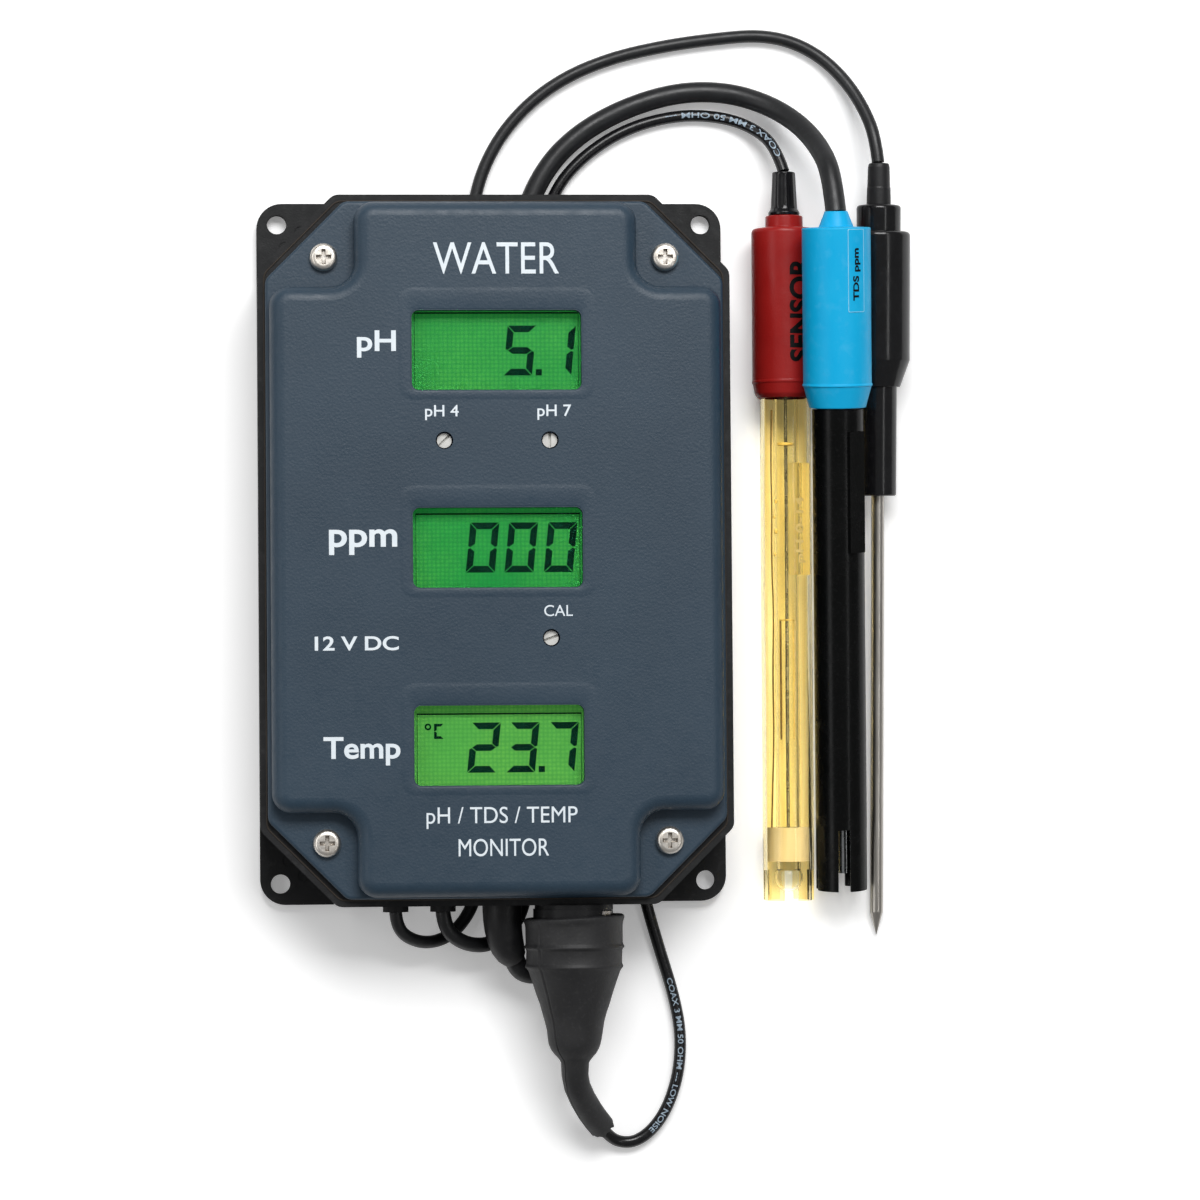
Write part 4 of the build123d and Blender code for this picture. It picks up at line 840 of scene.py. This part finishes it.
wrappedWords("redCapWord", "SENSOR", "ph", radius=7.5, turn=21.5, stations=(122.8, 146.6), tall=5.0,
             skin="printBlack", bold=0.03)
wrappedWords("blueCapWord", "TDS ppm", "tds", radius=7.8, turn=28.5, stations=(134.5, 146.3), tall=2.0,
             skin="printBlack", lift=0.09, bold=0.03)


def bentLoop(flat, place, base, turn, lift, step=0.4):
    # a flat loop laid round the axis of a lying part, its long runs divided
    out = []
    for (x1, y1, _), (x2, y2, _) in zip(flat, flat[1:] + flat[:1]):
        parts = max(1, math.ceil(abs(x2 - x1) / step))
        for k in range(parts):
            x = x1 + (x2 - x1) * k / parts
            y = y1 + (y2 - y1) * k / parts
            out.append(aroundAxis(place, base + lift, y, turn + x / base))
    return out


label = dict(base=7.8, turn=28.5, wide=4.4, low=131.9, high=150.6, lift=0.07, border=0.14, raised=0.03,
             corner=0.3, divisions=10, slack=1.001, columns=9)


def capLabel():
    # a smooth plate on the blue cap, and a pale raised line round it
    base = label["base"]
    border = label["border"]
    turn = math.radians(label["turn"])
    w = label["wide"] / 2
    middle = (label["low"] + label["high"]) / 2
    tall = label["high"] - label["low"]
    outer = rectangle(0, middle, 2 * w, tall, label["corner"], 0)
    share = 1 - border / w
    inner = [(x * share, middle + (y - middle) * (1 - 2 * border / tall), 0) for x, y, _ in outer]
    crest = label["lift"] + label["raised"]
    step = 2 * w / label["divisions"] * label["slack"]
    loops = [bentLoop(flat, places["tds"], base, turn, lift, step=step)
             for flat, lift in ((outer, 0), (outer, crest), (inner, crest), (inner, 0))]
    addPiece("labelLine", loft("labelLine", loops), "labelEdge")
    columns = label["columns"]
    points = []
    for i in range(columns):
        x = -w + border + (2 * w - 2 * border) * i / (columns - 1)
        for y in (label["low"] + border, label["low"] + border + (tall - 2 * border)):
            points.append(aroundAxis(places["tds"], base + label["lift"], y, turn + x / base))
    faces = [[2 * i, 2 * i + 1, 2 * i + 3, 2 * i + 2] for i in range(columns - 1)]
    addPiece("labelPlate", meshFrom("labelPlate", points, faces), "capBlue")


capLabel()
print("probe caps lettered")


# rubber boot over the plug

boot = dict(
    x=17.3, wall=-80.0, z=16.6, turns=240, tilt=-2.5, mouth=2.7, tiltRun=6, seamFrom=4, ripple=0.05,
    inside=[(9.3, 12.0), (9.25, 6.0), (9.3, 3.6)],
    outside=[(9.7, 2.85), (10.9, 2.7), (11.35, 3.0), (11.4, 3.5), (11.15, 4.1), (11.0, 5.0), (10.98, 8.6),
             (11.08, 9.15), (11.3, 9.35), (11.3, 9.75), (11.0, 10.0), (10.85, 10.4), (10.85, 13.2),
             (10.95, 13.6), (11.1, 13.8), (11.05, 14.2), (10.75, 14.5), (10.4, 15.0), (9.55, 17.4),
             (8.72, 20.0), (7.95, 22.3), (7.3, 24.4), (6.75, 26.4), (6.35, 28.4), (6.1, 30.3),
             (5.85, 31.6), (5.4, 32.7), (4.75, 33.7), (4.0, 34.5), (3.45, 35.2)],
    neck=[(17.3, -115.6, 16.6), (17.35, -118.6, 15.75), (17.9, -121.2, 14.3), (19.3, -124.2, 11.7),
          (21.1, -127.2, 9.0), (22.7, -129.4, 6.9), (24.05, -131.0, 4.95)],
    neckRadius=[3.2, 3.05, 3.0, 3.0, 3.02, 3.0, 2.95], end=1.4)


def tangent(line, i):
    return (line[min(i + 1, len(line) - 1)] - line[max(i - 1, 0)]).normalized()


def tornEdge(angle, rough):
    return 0.35 * math.sin(5 * angle + 1) + 0.25 * math.sin(11 * angle) + rough.uniform(-0.06, 0.06)


def rubberBoot():
    rough = random.Random(4)
    turns = boot["turns"]
    loops = []
    tilt = math.tan(math.radians(boot["tilt"]))
    for radius, station in boot["inside"] + boot["outside"]:
        deep = (station - boot["mouth"]) / boot["tiltRun"]
        lean = tilt * (1 - deep) if deep < 1 else 0
        outer = (radius, station) in boot["outside"] and station > boot["seamFrom"]
        loop = []
        for step in range(turns):
            angle = step * math.tau / turns
            seam = seamDepth(angle) if outer else 0
            wave = boot["ripple"] * math.sin(3 * angle + station) if outer else 0
            r = radius + seam + wave
            out = r * math.sin(angle)
            loop.append(Vector((boot["x"] + out, boot["wall"] - station - lean * r * math.sin(angle),
                                boot["z"] + r * math.cos(angle))))
        loops.append(loop)
    line = [Vector(p) for p in boot["neck"]]
    last = len(line) - 1
    for i, here in enumerate(line):
        along = tangent(line, i)
        side = (Vector((1, 0, 0)) - along * along.x).normalized()
        up = along.cross(side)
        if up.z < 0:
            up = -up
        loop = []
        for step in range(turns):
            angle = step * math.tau / turns
            r = boot["neckRadius"][i] + seamDepth(angle) * 0.7
            torn = tornEdge(angle, rough) if i == last else 0
            loop.append(here + along * torn + side * (r * math.sin(angle)) + up * (r * math.cos(angle)))
        loops.append(loop)
    centre = line[-1]
    share = boot["end"] / boot["neckRadius"][-1]
    loops.append([centre + (p - centre) * share for p in loops[-1]])
    data = loft("boot", loops, sharpAngle=50)
    addPiece("boot", data, "bootRubber", replaces=["rubber_boot"])


def seamDepth(angle):
    # mould line down the boot's upper left side
    off = (angle + math.radians(48) + math.pi) % math.tau - math.pi
    return -0.16 * math.exp(-(off / 0.022) ** 2) + 0.07 * math.exp(-((off + 0.05) / 0.03) ** 2)


rubberBoot()

relief = dict(
    line=[(1.3, -80.0, 12.8), (1.3, -81.6, 12.78), (1.35, -83.4, 12.7), (1.55, -85.6, 12.4),
          (1.95, -87.8, 11.9), (2.6, -89.7, 11.15), (3.3, -91.0, 10.4), (3.9, -91.75, 9.75)],
    radii=[4.5, 4.45, 4.38, 4.28, 4.1, 3.85, 3.5, 3.1], end=2.3, turns=96, rim=0.97, tip=0.25)


def cableRelief():
    # tapered rubber relief that follows the cable's bend
    line = [Vector(p) for p in relief["line"]]
    angles = [k * math.tau / relief["turns"] for k in range(relief["turns"])]
    loops = []
    for i, (here, radius) in enumerate(zip(line, relief["radii"])):
        along = tangent(line, i)
        side = (Vector((1, 0, 0)) - along * along.x).normalized()
        up = side.cross(along)
        loops.append([here + (side * math.sin(a) + up * math.cos(a)) * radius for a in angles])
    last = loops[-1]
    for share in (relief["rim"], relief["end"] / relief["radii"][-1]):
        loops.append([line[-1] + along * relief["tip"] + (p - line[-1]) * share for p in last])
    addPiece("cableRelief", loft("cableRelief", loops), "reliefRubber",
             replaces=["tds_relief"])


cableRelief()
print("boot and relief made")


# pieces seen in and on the clear body

insideParts = {
    "fillTubeLeft": dict(skin="amberDark", slot="stem_glass", across=-1.45, profile=[
        (0, 36.6), (0.24, 36.8, 0.1), (0.26, 50.0), (0.2, 63.9, 0.1), (0, 64.0)]),
    "fillTubeRight": dict(skin="amberPlate", slot="stem_glass", across=1.55, profile=[
        (0, 36.6), (0.14, 36.8, 0.1), (0.14, 63.9, 0.1), (0, 64.0)]),
    "fillTubeRim": dict(skin="amberPlate", slot="stem_glass", across=0.0, profile=[
        (1.5, 63.85), (1.78, 63.9, 0.05), (1.78, 64.1, 0.05), (1.5, 64.15), (1.5, 63.85)]),
    "wireSeal": dict(skin="amberPlate", slot="ph_amber", across=-0.1, profile=[
        (1.6, 103.9), (1.85, 104.0, 0.1), (1.85, 104.5, 0.1), (1.6, 104.6), (1.6, 103.9)]),
}
for name, part in insideParts.items():
    place = places["ph"] @ Matrix.Translation((part["across"], 0, 0))
    addPiece(name, lathe(name, part["profile"], place, turns=64), part["skin"])

drops = [(-2.9, 3.6, 79.0, 0.32), (-2.7, 3.7, 84.2, 0.4), (-3.0, 3.5, 87.5, 0.26), (-2.6, 3.7, 91.0, 0.3)]


def sealDrops():
    # small set drops of resin on the inside wall, each a lathed bead
    for i, (across, up, station, size) in enumerate(drops):
        place = places["ph"] @ Matrix.Translation((across, 0, up))
        arc = []
        for k in range(11):
            angle = k * math.pi / 10
            arc.append((size * math.sin(angle), station - size * 1.5 * math.cos(angle)))
        arc[0] = (0, arc[0][1])
        arc[-1] = (0, arc[-1][1])
        name = "resinDrop%d" % (i + 1)
        addPiece(name, lathe(name, arc, place, turns=20), "amberPlate")


sealDrops()

thread = dict(wide=0.34, points=[
    (-3.9, 15.0, 2.0), (-3.7, 24.0, 2.3), (-3.3, 37.0, 2.6), (-3.5, 52.0, 2.6), (-3.2, 66.0, 2.7),
    (-3.6, 78.0, 2.6), (-3.4, 90.0, 2.6), (-3.6, 101.0, 2.2), (-3.3, 112.0, 2.0)])
curve = splineCurve("innerThread", [places["ph"] @ Vector(p) for p in thread["points"]], thread["wide"])
addPiece("innerThread", curve, "amberDark")

grip = dict(radius=5.85, turn=(-2, 57), stations=(74.2, 99.8), corner=0.5, columns=9,
            rim=[(0, -0.02), (0, 0.2), (0.06, 0.3), (0.16, 0.35)], weld=0.00002)


def gripPlate():
    # raised plate along the clear body, with a rounded rim and a lid
    low, high = grip["stations"]
    left, right = [math.radians(a) * grip["radius"] for a in grip["turn"]]
    centre = (left + right) / 2
    middle = (low + high) / 2
    wide = right - left
    tall = high - low
    outline = rectangle(0, 0, wide, tall, grip["corner"], 0)
    loops = []
    for inset, rise in grip["rim"]:
        across = 1 - 2 * inset / wide
        along = 1 - 2 * inset / tall
        flat = [(centre + x * across, middle + y * along, 0) for x, y, _ in outline]
        loops.append(bentLoop(flat, places["ph"], grip["radius"], 0, rise, step=wide / 8))
    data = loft("gripPlate", loops)
    lid = bmesh.new()
    lid.from_mesh(data)
    inset, rise = grip["rim"][-1]
    w = wide / 2 - inset
    t = tall / 2 - inset
    last = grip["columns"] - 1
    for i in range(last):
        corners = []
        for u, v in ((i, -1), (i + 1, -1), (i + 1, 1), (i, 1)):
            angle = (centre - w + 2 * w * u / last) / grip["radius"]
            corner = aroundAxis(places["ph"], grip["radius"] + rise, middle + v * t, angle)
            corners.append(lid.verts.new(corner * mm))
        lid.faces.new(corners)
    bmesh.ops.remove_doubles(lid, verts=lid.verts[:], dist=grip["weld"])
    bmesh.ops.recalc_face_normals(lid, faces=lid.faces[:])
    lid.to_mesh(data)
    lid.free()
    addPiece("gripPlate", data, "phAmber")


gripPlate()
wrappedWords("gripWord", "pH 0-14", "ph", radius=6.15, turn=26, stations=(77.0, 92.0), tall=2.6,
             skin="amberPlate", lift=0.04, bold=0.02)
print("clear body fitted")

# raised mark on the slotted sleeve

plate = dict(top=6.15, turn=36, ring=(1.35, 1.62), station=100.9, high=0.12, low=-0.01, steps=48,
             word=(80.5, -1.3, 92.5, 1.3), wordRise=1.6)


def sleeveMark():
    place = places["tds"] @ Matrix.Rotation(math.radians(plate["turn"]), 4, "Y")
    inner, outer = plate["ring"]
    rings = []
    low = plate["low"]
    high = plate["high"]
    for r, z in ((inner, low), (inner, high), (outer, high), (outer, low)):
        flat = circle(0, plate["station"], r, plate["steps"])
        rings.append([place @ Vector((x, y, plate["top"] + z)) for x, y in flat])
    addPiece("sleeveRing", loft("sleeveRing", rings), "tdsBlack", body="tds_sleeve")
    word = lettering("sleeveWord", "TDS", plate["word"], 0, bold=0.03)
    for v in word.vertices:
        x, y, lift = v.co / mm
        v.co = (place @ Vector((-y, x, plate["top"] + lift * plate["wordRise"]))) * mm
    addPiece("sleeveWord", word, "tdsBlack", body="tds_sleeve")


sleeveMark()

# rubber skirt round the socket, open at the right where the plug's nickel shows

skirt = dict(inner=8.95, outer=9.2, stations=(1.0, 3.5), turn=(-175, 40), steps=60)


def socketSkirt():
    socket = Matrix.Translation((boot["x"], boot["wall"], boot["z"]))
    low, high = skirt["stations"]
    section = [(skirt["inner"], low), (skirt["outer"], low), (skirt["outer"], high), (skirt["inner"], high)]
    points = []
    faces = []
    start, end = skirt["turn"]
    steps = skirt["steps"]
    for step in range(steps + 1):
        angle = math.radians(start + (end - start) * step / steps)
        for radius, station in section:
            points.append(aroundAxis(socket, radius, -station, angle))
    for step in range(steps):
        for k in range(4):
            a = step * 4 + k
            b = step * 4 + (k + 1) % 4
            faces.append([a, b, b + 4, a + 4])
    faces += [[3, 2, 1, 0], [steps * 4 + k for k in range(4)]]
    addPiece("socketSkirt", meshFrom("socketSkirt", points, faces), "washerBlack")


socketSkirt()
print("marks and skirt made")


# floor, light and camera

paper = dict(half=3.0, below=0.0002, lift=0.22)


def larger(tree, first, second):
    # the greater of two values, so 1 where either ray type applies
    node = tree.nodes.new("ShaderNodeMath")
    node.operation = "MAXIMUM"
    tree.links.new(first, node.inputs[0])
    tree.links.new(second, node.inputs[1])
    return node.outputs[0]


def whiteFloor():
    # plain pale floor, lifted a little where it is looked at or seen through clear parts
    material, tree, shader = startMaterial("paper")
    path = addNode(tree, "LightPath", {})
    seen = larger(tree, path["Is Camera Ray"], path["Is Glossy Ray"])
    seen = larger(tree, seen, path["Is Transmission Ray"])
    direct = larger(tree, path["Is Camera Ray"], path["Is Transmission Ray"])
    colour = blendColours(tree, seen, (0.8, 0.8, 0.8), (1.0, 1.0, 1.0))
    lifted = remap(tree, direct, 0.0, paper["lift"], inLow=0.0, inHigh=1.0)
    setInputs(tree, shader, {"Base Color": colour, "Emission Strength": lifted, "Roughness": 0.9,
                             "Specular IOR Level": 0, "Emission Color": (1, 1, 1, 1)})
    data = bpy.data.meshes.new("paper")
    size = paper["half"]
    corners = [(-size, -size, 0), (size, -size, 0), (size, size, 0), (-size, size, 0)]
    data.from_pydata(corners, [], [(0, 1, 2, 3)])
    data.materials.append(material)
    floor = bpy.data.objects.new("paper", data)
    floor.location.z = cadLow.z - paper["below"]
    bpy.context.scene.collection.objects.link(floor)


lamps = {
    "softKey": dict(place=(0.10, 0.72, 1.10), aim=(0.02, 0, 0), wide=0.8, tall=0.5, power=14.5),
    "stripRight": dict(place=(0.66, 0.05, 1.05), aim=(0.06, 0, 0), wide=1.2, tall=0.06, power=1.3),
    "softLeft": dict(place=(-1.05, 0.1, 0.95), aim=(0.02, 0, 0), wide=1.3, tall=0.4, power=3.2),
}


def hangLamp(name, lamp):
    light = bpy.data.lights.new(name, "AREA")
    light.shape = "RECTANGLE"
    light.size = lamp["wide"]
    light.size_y = lamp["tall"]
    light.energy = lamp["power"]
    holder = bpy.data.objects.new(name, light)
    holder.location = lamp["place"]
    holder.rotation_euler = (Vector(lamp["place"]) - Vector(lamp["aim"])).to_track_quat("Z", "Y").to_euler()
    bpy.context.scene.collection.objects.link(holder)


whiteFloor()
for name, lamp in lamps.items():
    hangLamp(name, lamp)
world = bpy.data.worlds.new("studio")
bpy.context.scene.world = world
world.use_nodes = True
world.node_tree.nodes["Background"].inputs["Color"].default_value = (1, 1, 1, 1)
world.node_tree.nodes["Background"].inputs["Strength"].default_value = 0.22

eye = dict(place=(-0.06029, -0.04274, 1.13804), turn=(0.0285, -0.0746, -0.0079), lens=149.14)
camera = bpy.data.cameras.new("eye")
camera.lens = eye["lens"]
camera.sensor_width = 36
camera.dof.use_dof = False
holder = bpy.data.objects.new("eye", camera)
holder.location = eye["place"]
holder.rotation_euler = eye["turn"]
bpy.context.scene.collection.objects.link(holder)
bpy.context.scene.camera = holder
bpy.context.scene.view_settings.view_transform = "Standard"
print("studio set")
